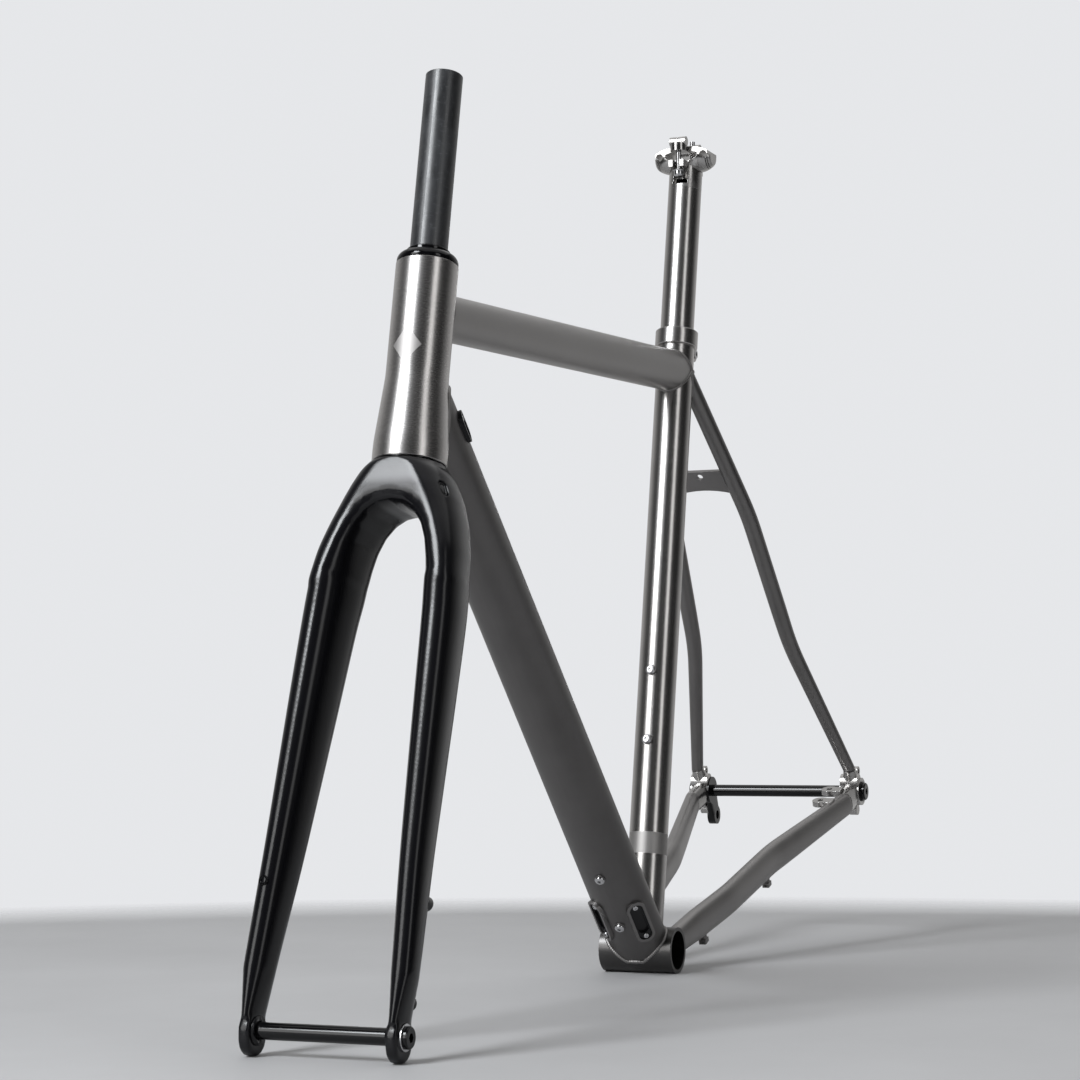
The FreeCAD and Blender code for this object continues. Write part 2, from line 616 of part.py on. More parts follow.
LOWER_LOW = 0.7
ball_bearing(20.0, LOWER_CUP_R, LOWER_LOW, LOWER_LOW + 7.0, 1.6, 20, "lower_bearing")
UPPER_HIGH = HEAD_LEN - 0.7
ball_bearing(15.1, UPPER_CUP_R, UPPER_HIGH - 7.0, UPPER_HIGH, 1.6, 18, "upper_bearing")
parts["crown_race"] = turned([(20.0, -1.0), (24.4, -1.0), (24.4, -0.4),
                              (21.6, 0.7), (20.9, 0.7), (20.0, 1.6)],
                             HEAD_BASE, S_UP, S_FW)
ring_low = UPPER_HIGH - 5.0
comp = turned([(STEERER_LOW_R, ring_low), (15.1, ring_low), (15.1, UPPER_HIGH - 0.9),
               (16.0, UPPER_HIGH), (16.0, UPPER_HIGH + 1.6),
               (STEERER_LOW_R, UPPER_HIGH + 1.6)], HEAD_BASE, S_UP, S_FW)
comp = comp.cut(box_at(HEAD_BASE + S_UP * UPPER_HIGH - S_FW * 15, S_FW, S_UP,
                       6, 1.6, 30))
parts["compression_ring"] = comp
COVER_LOW = HEAD_LEN + 0.5
parts["headset_cover"] = turned([(STEERER_LOW_R + 0.05, COVER_LOW + 1.2),
                                 (17.0, COVER_LOW + 1.2), (17.0, COVER_LOW),
                                 (23.2, COVER_LOW), (23.3, COVER_LOW + 1.4),
                                 (21.9, COVER_LOW + 5.2, 17.6, COVER_LOW + 7.6),
                                 (16.5, COVER_LOW + 7.6), (16.5, COVER_LOW + 10.2),
                                 (16.1, COVER_LOW + 10.6),
                                 (STEERER_LOW_R + 0.05, COVER_LOW + 10.6)],
                                HEAD_BASE, S_UP, S_FW)

# -------------------------------------------------------------------- steerer
RACE_R = 20.0
STEM_LOW = 168.0           # the exposed length that a stem clamps starts here
steerer_out = turned([(0, -30), (RACE_R, -30), (RACE_R, 12.0),
                      (STEERER_LOW_R, 62.0), (STEERER_LOW_R, STEM_LOW),
                      (STEERER_R, STEM_LOW), (STEERER_R, STEERER_TOP - 0.4),
                      (STEERER_R - 0.4, STEERER_TOP),
                      (0, STEERER_TOP)], HEAD_BASE, S_UP, S_FW)
steerer_in = turned([(0, -31), (15.5, -31), (15.5, 12.0), (11.6, 62.0),
                     (11.6, STEERER_TOP + 1), (0, STEERER_TOP + 1)],
                    HEAD_BASE, S_UP, S_FW)
parts["fork_steerer"] = steerer_out.cut(steerer_in)

# ----------------------------------------------------------------- fork blades
BLADE_O = V(482.98, 0, 364.11)
blade_dir = unit(V(125.76, 0, -354.96))
blade_fw = V(-blade_dir.z, 0, blade_dir.x)
TOE = math.radians(8.0)
BLADE_POWER = 2.3
BLADE_START = 62.0
BLADE_END = 347.0


def table_at(table, x):
    # smooth value of a table of (position, value) rows
    last = len(table) - 1
    i = 0
    while i < last - 1 and x > table[i + 1][0]:
        i += 1
    (xa, va), (xb, vb) = table[i], table[i + 1]
    x0, v0 = table[max(0, i - 1)]
    x3, v3 = table[min(last, i + 2)]
    slope_a = (vb - v0) / (xb - x0)
    slope_b = (v3 - va) / (x3 - xa)
    h = xb - xa
    w = (x - xa) / h
    return (va * (1 + 2 * w) * (1 - w) ** 2 + slope_a * h * w * (1 - w) ** 2
            + vb * w * w * (3 - 2 * w) + slope_b * h * w * w * (w - 1))


SIDE_T = ((0, 42.0), (62, 44.1), (89, 45.5), (150, 47.5), (210, 49.5), (268, 51.6),
          (347, 55.6), (380, 56.5))
DEPTH_T = ((0, 29.0), (62, 28.2), (89, 26.3), (150, 23.6), (210, 20.8), (268, 18.1),
           (347, 13.8), (380, 13.0))
WIDTH_T = ((0, 14.6), (62, 14.6), (89, 14.4), (150, 13.15), (210, 11.85),
           (268, 10.5), (347, 8.9), (380, 8.0))


def blade_wire(t, inset):
    c = BLADE_O + blade_dir * t + YDIR * table_at(SIDE_T, t)
    a_dir = blade_fw * math.cos(TOE) + YDIR * math.sin(TOE)
    b_dir = YDIR * math.cos(TOE) - blade_fw * math.sin(TOE)
    return oval_wire(c, a_dir, table_at(DEPTH_T, t) - inset, b_dir,
                     table_at(WIDTH_T, t) - inset, BLADE_POWER)


BLADE_STEPS = 16
BLADE_WALL = 3.0
blade_skin = loft([blade_wire(BLADE_START + (BLADE_END - BLADE_START) * i / BLADE_STEPS, 0)
                   for i in range(BLADE_STEPS + 1)], True)
blade_core = loft([blade_wire(BLADE_START + (340.0 - BLADE_START) * i / BLADE_STEPS,
                              BLADE_WALL) for i in range(BLADE_STEPS + 1)], True)
parts["fork_blade_left"] = blade_skin.cut(blade_core)

# ------------------------------------------------------------------ fork crown
# each row: inner point and outer point of the section as (side, height along
# the steering axis), half depth, and the section's shift forward
CROWN_ROWS = ((0.0, -36.0, 0.0, -1.5, 28.0, 0.0),
              (9.0, -37.8, 16.0, -2.5, 27.9, 0.0),
              (16.5, -43.0, 33.0, -9.5, 27.8, 0.2),
              (22.5, -52.0, 44.8, -23.5, 27.9, 0.8),
              (26.6, -64.0, 52.3, -42.5, 28.0, 2.2),
              (28.6, -77.5, 56.9, -66.5, 28.1, 4.2))


def steer_point(fw, side, up):
    return HEAD_BASE + S_FW * fw + YDIR * side + S_UP * up


CROWN_STEPS = 24
CROWN_COLUMNS = [tuple((i, row[k]) for i, row in enumerate(CROWN_ROWS))
                 for k in range(6)]
crown_wires = []
for k in range(CROWN_STEPS + 1):
    w = (len(CROWN_ROWS) - 1) * k / CROWN_STEPS
    yi, hi, yo, ho, depth, shift = [table_at(col, w) for col in CROWN_COLUMNS]
    a = steer_point(shift, yi, hi)
    b = steer_point(shift, yo, ho)
    turn = TOE * w / 6.0
    side_dir = unit(b - a)
    a_dir = S_FW * math.cos(turn) + side_dir * math.sin(turn)
    b_dir = side_dir * math.cos(turn) - S_FW * math.sin(turn)
    crown_wires.append(oval_wire((a + b) * 0.5, a_dir, depth, b_dir,
                                 (b - a).Length / 2, BLADE_POWER))
crown_wires.append(blade_wire(BLADE_START, 0))
CROWN_HALFWAY = 12         # the loft is made in two pieces about this row
crown_half = loft(crown_wires[:CROWN_HALFWAY + 1], True)
crown_half = crown_half.fuse(loft(crown_wires[CROWN_HALFWAY:], True))
CROWN_TOP = -1.0
neck = turned([(0, CROWN_TOP), (27.6, CROWN_TOP), (27.93, CROWN_TOP - 0.3),
               (27.93, -12.0), (26.0, -22.0), (20, -30.0), (0, -30.0)],
              HEAD_BASE, S_UP, S_FW)
crown = crown_half.fuse(mirror(crown_half)).fuse(neck)
crown = crown.cut(rod(60, HEAD_BASE + S_UP * CROWN_TOP, HEAD_BASE + S_UP * 60))
crown = crown.cut(steerer_out)
crown = crown.cut(rod(11.0, HEAD_BASE - S_UP * 80, HEAD_BASE))
PLUG_O = steer_point(10.0, 35.2, -19.5)
plug_n = unit(S_FW * 0.22 + YDIR * 0.75 + S_UP * 0.62)
port_hole = capsule(13.0, 8.0, 30, PLUG_O - plug_n * 9.0, plug_n, S_UP)
parts["fork_crown"] = crown.cut(port_hole)
plug = capsule(12.8, 7.8, 9.4, PLUG_O - plug_n * 8.8, plug_n, S_UP)
plug = plug.cut(capsule(7.0, 3.4, 5, PLUG_O - plug_n * 0.6, plug_n, S_UP))
parts["fork_port_plug"] = plug

# ------------------------------------------------------------------- fork tips
TIP_R = 13.4
TIP_DROP = 4.05
axle_l = FRONT_AXLE + YDIR * FRONT_HALF
tip_low = V(FRONT_AXLE.x, 0, FRONT_AXLE.z - TIP_DROP)
TIP_IN = 51.4
TIP_OUT = 60.0


def fork_tip():
    shank = loft([blade_wire(BLADE_END, 0),
                  oval_wire(V(FRONT_AXLE.x - 0.2, 55.7, FRONT_AXLE.z + 6),
                            blade_fw, TIP_R - 0.3, YDIR, 4.7, 2.6)], True)
    foot = rod(TIP_R, tip_low + YDIR * TIP_IN, tip_low + YDIR * TIP_OUT)
    heel = rod(TIP_R, FRONT_AXLE + YDIR * TIP_IN, FRONT_AXLE + YDIR * TIP_OUT)
    inner_boss = rod(10.2, axle_l, FRONT_AXLE + YDIR * (TIP_IN + 1))
    seat = rod(9.9, FRONT_AXLE + YDIR * TIP_OUT, FRONT_AXLE + YDIR * (TIP_OUT + 9))
    return shank.fuse(foot).fuse(heel).fuse(inner_boss).cut(seat).removeSplitter()


tip = fork_tip()
tip_right = mirror(tip)
front_bore = rod(AXLE_R + AXLE_FIT, FRONT_AXLE - YDIR * 80, FRONT_AXLE + YDIR * 80)
tip_left = tip.cut(front_bore)

# fork flat-mount pads at the back of the left blade
pad_dir = blade_fw * -1
PAD_LOW = 363.0
PAD_R = 5.4
pads = []
tip_holes = []
for t in (PAD_LOW - FLAT_MOUNT_FRONT, PAD_LOW):
    skin = table_at(DEPTH_T, t)
    o = BLADE_O + blade_dir * t + YDIR * 55.0 + pad_dir * (skin + 1.6)
    pad = turned([(2.1, -12), (PAD_R, -12), (PAD_R, -0.6), (PAD_R - 0.6, 0), (2.1, 0)],
                 o, pad_dir, YDIR)
    hole = rod(PAD_R, o - pad_dir * 12, o + pad_dir * 4)
    pads.append(pad)
    tip_holes.append(hole)
parts["fork_brake_mounts"] = Part.makeCompound(pads)
for hole in tip_holes:
    tip_left = tip_left.cut(hole)
    parts["fork_blade_left"] = parts["fork_blade_left"].cut(hole)
parts["fork_tip_left"] = tip_left
parts["fork_tip_right"] = tip_right.cut(front_bore)
blade_right = mirror(blade_skin.cut(blade_core))

# threaded insert in the front of the right blade
RACK_T = 288.0
rack_o = (BLADE_O + blade_dir * RACK_T - YDIR * (table_at(SIDE_T, RACK_T) + 2.2)
          + blade_fw * (table_at(DEPTH_T, RACK_T) + 0.2))
rack_n = unit(blade_fw - YDIR * math.tan(TOE))
insert = turned([(2.1, -9), (3.6, -9), (3.6, 0.3), (2.1, 0.3)], rack_o, rack_n, YDIR)
blade_right = blade_right.cut(rod(3.6, rack_o - rack_n * 9, rack_o + rack_n * 9))
parts["fork_rack_insert"] = insert
parts["fork_blade_right"] = blade_right

# ---------------------------------------------------------------------- axles
WASHER_T = 1.6


def axle(centre, tip_y, seat_y, head_r, head_len, washer_r, key, name):
    head = turned([(0, 0), (head_r, 0), (head_r, head_len - 0.8),
                   (head_r - 0.8, head_len), (0, head_len)],
                  centre + YDIR * (seat_y + WASHER_T), YDIR, V(1, 0, 0))
    shaft = rod(AXLE_R, centre + YDIR * tip_y, centre + YDIR * (seat_y + WASHER_T))
    top = seat_y + WASHER_T + head_len
    socket = hexagon(key, 9, centre + YDIR * (top - 6), YDIR, V(1, 0, 0))
    body = head.fuse(shaft).removeSplitter().cut(socket)
    hollow = rod(3.4, centre + YDIR * (tip_y - 1), centre + YDIR * (top - 14))
    parts[name] = body.cut(hollow)
    ring = turned([(AXLE_R + AXLE_FIT, 0), (washer_r, 0), (washer_r, WASHER_T - 0.3),
                   (washer_r - 0.3, WASHER_T - 0.02),
                   (AXLE_R + AXLE_FIT, WASHER_T - 0.02)],
                  centre + YDIR * seat_y, YDIR, V(1, 0, 0))
    parts[name + "_washer"] = ring


axle(FRONT_AXLE, -FRONT_HALF - 11.0, TIP_OUT + 0.02, 7.8, 3.2, 9.4, 3.0, "front_axle")
axle(REAR_AXLE, -(REAR_HALF + 17.0), DROP_MID + DROP_W / 2 + 0.02, 8.8, 3.0, 10.2,
     3.0, "rear_axle")

# -------------------------------------------------------------------- seatpost
PIVOT = P_UP * 756.0 + V(3.0, 0, 0)
CRADLE_R = 15.0
CLAMP_FIT = 0.05
POST_LOW = 425.0
POST_HEAD = 722.0
post = rod(POST_R, P_UP * POST_LOW, P_UP * POST_HEAD)
parts["seatpost_tube"] = post.cut(rod(POST_R - 1.5, P_UP * (POST_LOW - 1),
                                      P_UP * (POST_HEAD + 1)))
neck_top = P_UP * 752.0
head = rod(POST_R, P_UP * POST_HEAD, neck_top)
head = head.cut(rod(POST_R - 4.0, P_UP * (POST_HEAD - 1), P_UP * (POST_HEAD + 10)))
LUG_LOW = -12.8
lug = Part.makeBox(56, 15, 6.4, V(-28, -7.5, LUG_LOW))
lug.translate(PIVOT)
slots = []
for x in (CLAMP_BOLT_X, -CLAMP_BOLT_X):
    slot = Part.makeBox(20, 7.0, 12, V(-10, -3.5, LUG_LOW - 3))
    shift = 5.2 if x > 0 else -5.2
    slot.translate(PIVOT + V(x + shift, 0, 0))
    slots.append(slot)
head = head.fuse(lug)
for slot in slots:
    head = head.cut(slot)
head = head.cut(rod(CRADLE_R + CLAMP_FIT, PIVOT - YDIR * 40, PIVOT + YDIR * 40))
trim = Part.makeBox(90, 90, 60, V(-45, -45, -4.5))
trim.translate(PIVOT)
head = head.cut(trim)
NOTCH_R = 7.6              # room for a bolt head as the clamp tilts
NOTCH_X = (17.9, 21.5)
for x in NOTCH_X + tuple(-x for x in NOTCH_X):
    notch = rod(NOTCH_R, PIVOT + V(x, 0, LUG_LOW - 14.5), PIVOT + V(x, 0, LUG_LOW))
    head = head.cut(notch)
    parts["seatpost_tube"] = parts["seatpost_tube"].cut(notch)
head_solids = sorted(head.Solids, key=lambda s: -s.Volume)
parts["seatpost_head"] = head_solids[0]

# -------------------------------------------------------------- saddle clamp
CLAMP_W = 28.0
SPLIT = 0.4
rails = None
for side in (1, -1):
    rail = rod(RAIL_R, PIVOT + V(-40, side * RAIL_HALF, 0),
               PIVOT + V(40, side * RAIL_HALF, 0))
    rails = rail if rails is None else rails.fuse(rail)
hull = turned([(0, -CLAMP_W), (9.0, -CLAMP_W), (10.2, -CLAMP_W + 1.2),
               (13.6, -20.5, CRADLE_R, -11.0), (CRADLE_R, 11.0),
               (13.6, 20.5, 10.2, CLAMP_W - 1.2), (9.0, CLAMP_W), (0, CLAMP_W)],
              PIVOT, YDIR, V(1, 0, 0))
under = Part.makeBox(80, 80, 40, V(-40, -40, -40 - SPLIT))
under.translate(PIVOT)
lower = hull.common(under).cut(rails)


def hollow_between(corner_z, middle_z):
    # an arched prism between the rails, run along X
    corner = RAIL_HALF - RAIL_R - 2.5
    a = V(0, -corner, 0)
    b = V(0, -corner, corner_z)
    c = V(0, corner, corner_z)
    d = V(0, corner, 0)
    edges = [Part.LineSegment(a, b).toShape(),
             Part.Arc(b, V(0, 0, middle_z), c).toShape(),
             Part.LineSegment(c, d).toShape(), Part.LineSegment(d, a).toShape()]
    prism = Part.Face(Part.Wire(edges)).extrude(V(60, 0, 0))
    prism.translate(PIVOT + V(-30, 0, 0))
    return prism


lower = lower.cut(hollow_between(-1.4, -6.2))
GROOVES = (23.7, 25.3)     # ribbed ends of the rail cups
for y in GROOVES + tuple(-y for y in GROOVES):
    groove = turned([(8.6, -0.35), (20, -0.35), (20, 0.35), (8.6, 0.35)],
                    PIVOT + YDIR * y, YDIR, V(1, 0, 0))
    lower = lower.cut(groove)
bolt_paths = None
for x in (CLAMP_BOLT_X, -CLAMP_BOLT_X):
    path = rod(2.75, PIVOT + V(x, 0, -60), PIVOT + V(x, 0, 60))
    bolt_paths = path if bolt_paths is None else bolt_paths.fuse(path)
parts["lower_rail_clamp"] = lower.cut(bolt_paths)

# upper clamp: an arched yoke over both rails with a bolt ear at each end
e1 = Part.LineSegment(V(0, -26.5, SPLIT), V(0, -26.5, 3.4)).toShape()
e2 = Part.Arc(V(0, -26.5, 3.4), V(0, -17.0, 7.4), V(0, -8.5, 8.4)).toShape()
e3 = Part.LineSegment(V(0, -8.5, 8.4), V(0, 8.5, 8.4)).toShape()
e4 = Part.Arc(V(0, 8.5, 8.4), V(0, 17.0, 7.4), V(0, 26.5, 3.4)).toShape()
e5 = Part.LineSegment(V(0, 26.5, 3.4), V(0, 26.5, SPLIT)).toShape()
e6 = Part.LineSegment(V(0, 26.5, SPLIT), V(0, -26.5, SPLIT)).toShape()
yoke = Part.Face(Part.Wire([e1, e2, e3, e4, e5, e6])).extrude(V(27, 0, 0))
yoke.translate(PIVOT + V(-13.5, 0, 0))
yoke = yoke.cut(hollow_between(2.2, 5.2))
EAR_LOW = 3.0
NUT_R = 4.6
NUT_Z = 12.2
for x in (CLAMP_BOLT_X, -CLAMP_BOLT_X):
    c = PIVOT + V(x, 0, 0)
    ear = rod(8.0, c + V(0, 0, EAR_LOW), c + V(0, 0, 10.4))
    web = Part.makeBox(14, 15, 5.4, V(-7, -7.5, EAR_LOW))
    web.translate(c + V(-math.copysign(7.5, x), 0, 0))
    yoke = yoke.fuse(ear).fuse(web)
nut_beds = None
nuts = []
for x in (CLAMP_BOLT_X, -CLAMP_BOLT_X):
    c = PIVOT + V(x, 0, NUT_Z)
    nut = rod(NUT_R, c - YDIR * 8, c + YDIR * 8)
    bed = rod(NUT_R, c - YDIR * 20, c + YDIR * 20)
    nuts.append(nut.cut(rod(2.55, c - V(0, 0, 20), c + V(0, 0, 20))))
    nut_beds = bed if nut_beds is None else nut_beds.fuse(bed)
yoke = yoke.cut(rails).cut(bolt_paths).cut(nut_beds)
parts["upper_rail_clamp"] = yoke.removeSplitter()
parts["clamp_nuts"] = Part.makeCompound(nuts)

# clamp bolts with their loose washers, one body each
BOLT_GAP = 2.0
for name, x, top in (("front", CLAMP_BOLT_X, 16.2), ("rear", -CLAMP_BOLT_X, 20.0)):
    c = PIVOT + V(x, 0, 0)
    under = LUG_LOW - BOLT_GAP
    washer = turned([(2.55, -1.4), (5.2, -1.4), (5.6, -0.7), (5.2, 0), (2.55, 0)],
                    c + V(0, 0, under), V(0, 0, 1), V(1, 0, 0))
    parts["clamp_washer_" + name] = washer
    head_top = under - 1.42
    head = turned([(0, 0), (4.6, 0), (4.8, -1.8), (4.4, -4.1, 3.0, -5.2), (0, -5.2)],
                  c + V(0, 0, head_top), V(0, 0, 1), V(1, 0, 0))
    head = head.cut(hexagon(2.0, 3.2, c + V(0, 0, head_top - 5.3),
                            V(0, 0, 1), V(1, 0, 0)))
    shank = rod(2.5, c + V(0, 0, head_top - 0.1), c + V(0, 0, top))
    parts["clamp_bolt_" + name] = head.fuse(shank).removeSplitter()

# --------------------------------------------------------------------- export
os.makedirs("parts", exist_ok=True)
for name, shape in parts.items():
    shape.exportStep("parts/" + name + ".step")
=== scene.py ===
import bpy
import bmesh
import json
import math
from mathutils import Matrix, Vector, noise


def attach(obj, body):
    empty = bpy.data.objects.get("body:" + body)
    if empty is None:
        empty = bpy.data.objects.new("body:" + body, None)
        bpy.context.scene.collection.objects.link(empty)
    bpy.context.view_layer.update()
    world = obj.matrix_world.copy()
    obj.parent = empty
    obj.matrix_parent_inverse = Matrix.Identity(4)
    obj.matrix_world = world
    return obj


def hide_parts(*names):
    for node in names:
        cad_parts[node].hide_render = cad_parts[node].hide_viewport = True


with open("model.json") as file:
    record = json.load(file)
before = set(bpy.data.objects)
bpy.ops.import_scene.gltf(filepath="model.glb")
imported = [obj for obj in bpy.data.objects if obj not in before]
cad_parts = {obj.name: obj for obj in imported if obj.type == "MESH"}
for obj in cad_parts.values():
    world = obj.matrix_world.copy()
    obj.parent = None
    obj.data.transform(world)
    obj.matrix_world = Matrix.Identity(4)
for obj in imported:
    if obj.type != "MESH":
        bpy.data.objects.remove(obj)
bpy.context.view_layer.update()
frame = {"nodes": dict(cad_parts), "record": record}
NODES = frame["nodes"]

# ---------------------------------------------------------------- dimensions
Y = Vector((0, 1, 0))
HEAD_BASE = Vector((474.98, 0, 394.11))
STEER_LEAN = math.radians(11.824)
SEAT_LEAN = math.radians(10.717)
# up and forward along the steering axis (S) and along the seat tube (P)
S_UP = Vector((-math.sin(STEER_LEAN), 0, math.cos(STEER_LEAN)))
S_FW = Vector((math.cos(STEER_LEAN), 0, math.sin(STEER_LEAN)))
P_UP = Vector((-math.sin(SEAT_LEAN), 0, math.cos(SEAT_LEAN)))
P_FW = Vector((math.cos(SEAT_LEAN), 0, math.sin(SEAT_LEAN)))
HEAD_R_TOP = 23.58
HEAD_R_BOT = 27.93
HEAD_CONE = (14, 66)       # heights between which the head tube narrows
BB_R = 20.3
SEAT_R = 17.45
FRONT_AXLE = Vector((608.74, 0, -2.85))
TOP_A = Vector((450.7, 0, 509.9))
TOP_B = P_UP * 541.4
DOWN_A = Vector((463.3, 0, 449.6))
# half height and half width: at the rear end, then at the head tube
TOP_SIZES = (19.5, 17.35, 17.6, 17.6)
DOWN_SIZES = (20.0, 27.75, 23.3, 23.3)


# ------------------------------------------------------------------- helpers
def shade_smooth(data):
    data.polygons.foreach_set("use_smooth", [True] * len(data.polygons))


def shown(name, data):
    # an object of this mesh, placed in the scene
    obj = bpy.data.objects.new(name, data)
    bpy.context.scene.collection.objects.link(obj)
    return obj


def mesh(name, points, faces):
    data = bpy.data.meshes.new(name)
    data.from_pydata([p * 0.001 for p in points], [], faces)
    data.validate()
    tidy = bmesh.new()
    tidy.from_mesh(data)
    bmesh.ops.recalc_face_normals(tidy, faces=tidy.faces)
    tidy.to_mesh(data)
    tidy.free()
    shade_smooth(data)
    return shown(name, data)


def skin(name, rings, closed=False):
    # a surface through the rings: closed on itself, or capped at both ends
    count = len(rings[0])
    points = [p for ring in rings for p in ring]
    faces = []
    spans = len(rings) if closed else len(rings) - 1
    for i in range(spans):
        a = i * count
        b = ((i + 1) % len(rings)) * count
        for k in range(count):
            n = (k + 1) % count
            faces.append((a + k, a + n, b + n, b + k))
    if not closed:
        faces.append(tuple(range(count))[::-1])
        faces.append(tuple(range((len(rings) - 1) * count, len(rings) * count)))
    return mesh(name, points, faces)


def oval(centre, a_dir, a, b_dir, b, power, count):
    # a ring of half sizes a and b: an ellipse at power 2, squarer above it
    out = []
    for i in range(count):
        t = 2 * math.pi * i / count
        c = math.cos(t)
        s = math.sin(t)
        out.append(centre + a_dir * (a * math.copysign(abs(c) ** (2 / power), c))
                   + b_dir * (b * math.copysign(abs(s) ** (2 / power), s)))
    return out


def straight(a_ring, b_ring, steps=60):
    return [[p.lerp(q, i / steps) for p, q in zip(a_ring, b_ring)] for i in range(steps + 1)]


def across(axis):
    # two directions square to the axis and to each other
    other = Y if abs(axis.dot(Y)) < 0.9 else Vector((1, 0, 0))
    a = (other - axis * other.dot(axis)).normalized()
    return a, axis.cross(a)


def rod(name, r, a, b, count=64):
    u, v = across((b - a).normalized())
    return skin(name, [oval(a, u, r, v, r, 2, count), oval(b, u, r, v, r, 2, count)])


def bake(obj):
    # puts the result of the object's modifiers in the place of its mesh
    graph = bpy.context.evaluated_depsgraph_get()
    data = bpy.data.meshes.new_from_object(obj.evaluated_get(graph))
    obj.modifiers.clear()
    old = obj.data
    obj.data = data
    data.name = obj.name
    bpy.data.meshes.remove(old)
    shade_smooth(data)


def minus(obj, *cutters):
    for cutter in cutters:
        mod = obj.modifiers.new("cut", "BOOLEAN")
        mod.operation = "DIFFERENCE"
        mod.solver = "MANIFOLD"
        mod.object = cutter
    bpy.context.view_layer.update()
    bake(obj)
    for cutter in cutters:
        bpy.data.objects.remove(cutter)


def joined(name, objs):
    merged = bmesh.new()
    for o in objs:
        merged.from_mesh(o.data)
        bpy.data.objects.remove(o)
    data = bpy.data.meshes.new(name)
    merged.to_mesh(data)
    merged.free()
    shade_smooth(data)
    return shown(name, data)


def remesh(obj, voxel):
    mod = obj.modifiers.new("voxels", "REMESH")
    mod.mode = "VOXEL"
    mod.voxel_size = voxel * 0.001
    mod.use_smooth_shade = True
    bpy.context.view_layer.update()
    bake(obj)


def table_at(table, x):
    # smooth value of a table of (position, value) rows
    last = len(table) - 1
    i = 0
    while i < last - 1 and x > table[i + 1][0]:
        i += 1
    (xa, va), (xb, vb) = table[i], table[i + 1]
    x0, v0 = table[max(0, i - 1)]
    x3, v3 = table[min(last, i + 2)]
    sa = (vb - v0) / (xb - x0)
    sb = (v3 - va) / (x3 - xa)
    h = xb - xa
    w = (x - xa) / h
    return (va * (1 + 2 * w) * (1 - w) ** 2 + sa * h * w * (1 - w) ** 2
            + vb * w * w * (3 - 2 * w) + sb * h * w * w * (w - 1))


# ----------------------------------------------------------------- materials
def material(name, colour, metallic, roughness, build, specular=0.5):
    mat = bpy.data.materials.new(name)
    mat.use_nodes = True
    tree = mat.node_tree
    shader = tree.nodes["Principled BSDF"]
    shader.inputs["Base Color"].default_value = (*colour, 1)
    shader.inputs["Metallic"].default_value = metallic
    shader.inputs["Roughness"].default_value = roughness
    shader.inputs["Specular IOR Level"].default_value = specular
    build(tree, shader, colour, roughness)
    return mat


def node(tree, kind, **values):
    made = tree.nodes.new(kind)
    for key, value in values.items():
        if key in made.inputs:
            made.inputs[key].default_value = value
        else:
            setattr(made, key, value)
    return made


def local(tree, turn=(0, 0, 0), scale=(1, 1, 1), origin=(0, 0, 0)):
    # coordinates about an origin, turned and then scaled
    coords = node(tree, "ShaderNodeTexCoord")
    place = node(tree, "ShaderNodeMapping", vector_type="TEXTURE", Rotation=turn,
                 Location=origin, Scale=[1 / k for k in scale])
    tree.links.new(coords.outputs["Object"], place.inputs["Vector"])
    return place.outputs["Vector"]


def speckle(tree, vector, scale, detail=6.0, rough=0.6):
    made = node(tree, "ShaderNodeTexNoise", Scale=scale, Detail=detail, Roughness=rough)
    tree.links.new(vector, made.inputs["Vector"])
    return made.outputs["Fac"]


def ramp(tree, fac, low, high, start, end, kind="LINEAR"):
    # runs from low to high while fac runs from start to end
    made = node(tree, "ShaderNodeMapRange", interpolation_type=kind)
    made.inputs["From Min"].default_value = start
    made.inputs["From Max"].default_value = end
    made.inputs["To Min"].default_value = low
    made.inputs["To Max"].default_value = high
    tree.links.new(fac, made.inputs["Value"])
    return made.outputs["Result"]


def blend(tree, fac, first, second):
    # first and second are each a colour or the output of a node
    made = node(tree, "ShaderNodeMix", data_type="RGBA")
    tree.links.new(fac, made.inputs["Factor"])
    ends = [s for s in made.inputs if s.type == "RGBA"]
    for socket, value in zip(ends, (first, second)):
        if isinstance(value, tuple):
            socket.default_value = (*value, 1)
        else:
            tree.links.new(value, socket)
    return [s for s in made.outputs if s.type == "RGBA"][0]


def bump(tree, shader, height, strength, distance, edge=0.0):
    made = node(tree, "ShaderNodeBump", Strength=strength, Distance=distance)
    tree.links.new(height, made.inputs["Height"])
    if edge:
        soft = node(tree, "ShaderNodeBevel", Radius=edge)
        soft.samples = 4
        tree.links.new(soft.outputs["Normal"], made.inputs["Normal"])
    tree.links.new(made.outputs["Normal"], shader.inputs["Normal"])


def shades(colour, k):
    return tuple(c * k for c in colour)


def maths(tree, operation, *values):
    made = node(tree, "ShaderNodeMath", operation=operation)
    for socket, value in zip(made.inputs, values):
        if isinstance(value, (int, float)):
            socket.default_value = value
        else:
            tree.links.new(value, socket)
    return made.outputs["Value"]


def lozenge(tree, turn, origin, half_width, half_height):
    # 1 on a lozenge on the front of a tube, 0 elsewhere
    split = node(tree, "ShaderNodeSeparateXYZ")
    tree.links.new(local(tree, turn, origin=origin), split.inputs[0])
    x, y, z = split.outputs
    wide = maths(tree, "DIVIDE", maths(tree, "ABSOLUTE", y), half_width)
    high = maths(tree, "DIVIDE", maths(tree, "ABSOLUTE", z), half_height)
    inside = ramp(tree, maths(tree, "ADD", wide, high), 1, 0, 0.98, 1.02)
    return maths(tree, "MULTIPLY", inside, maths(tree, "GREATER_THAN", x, 0))


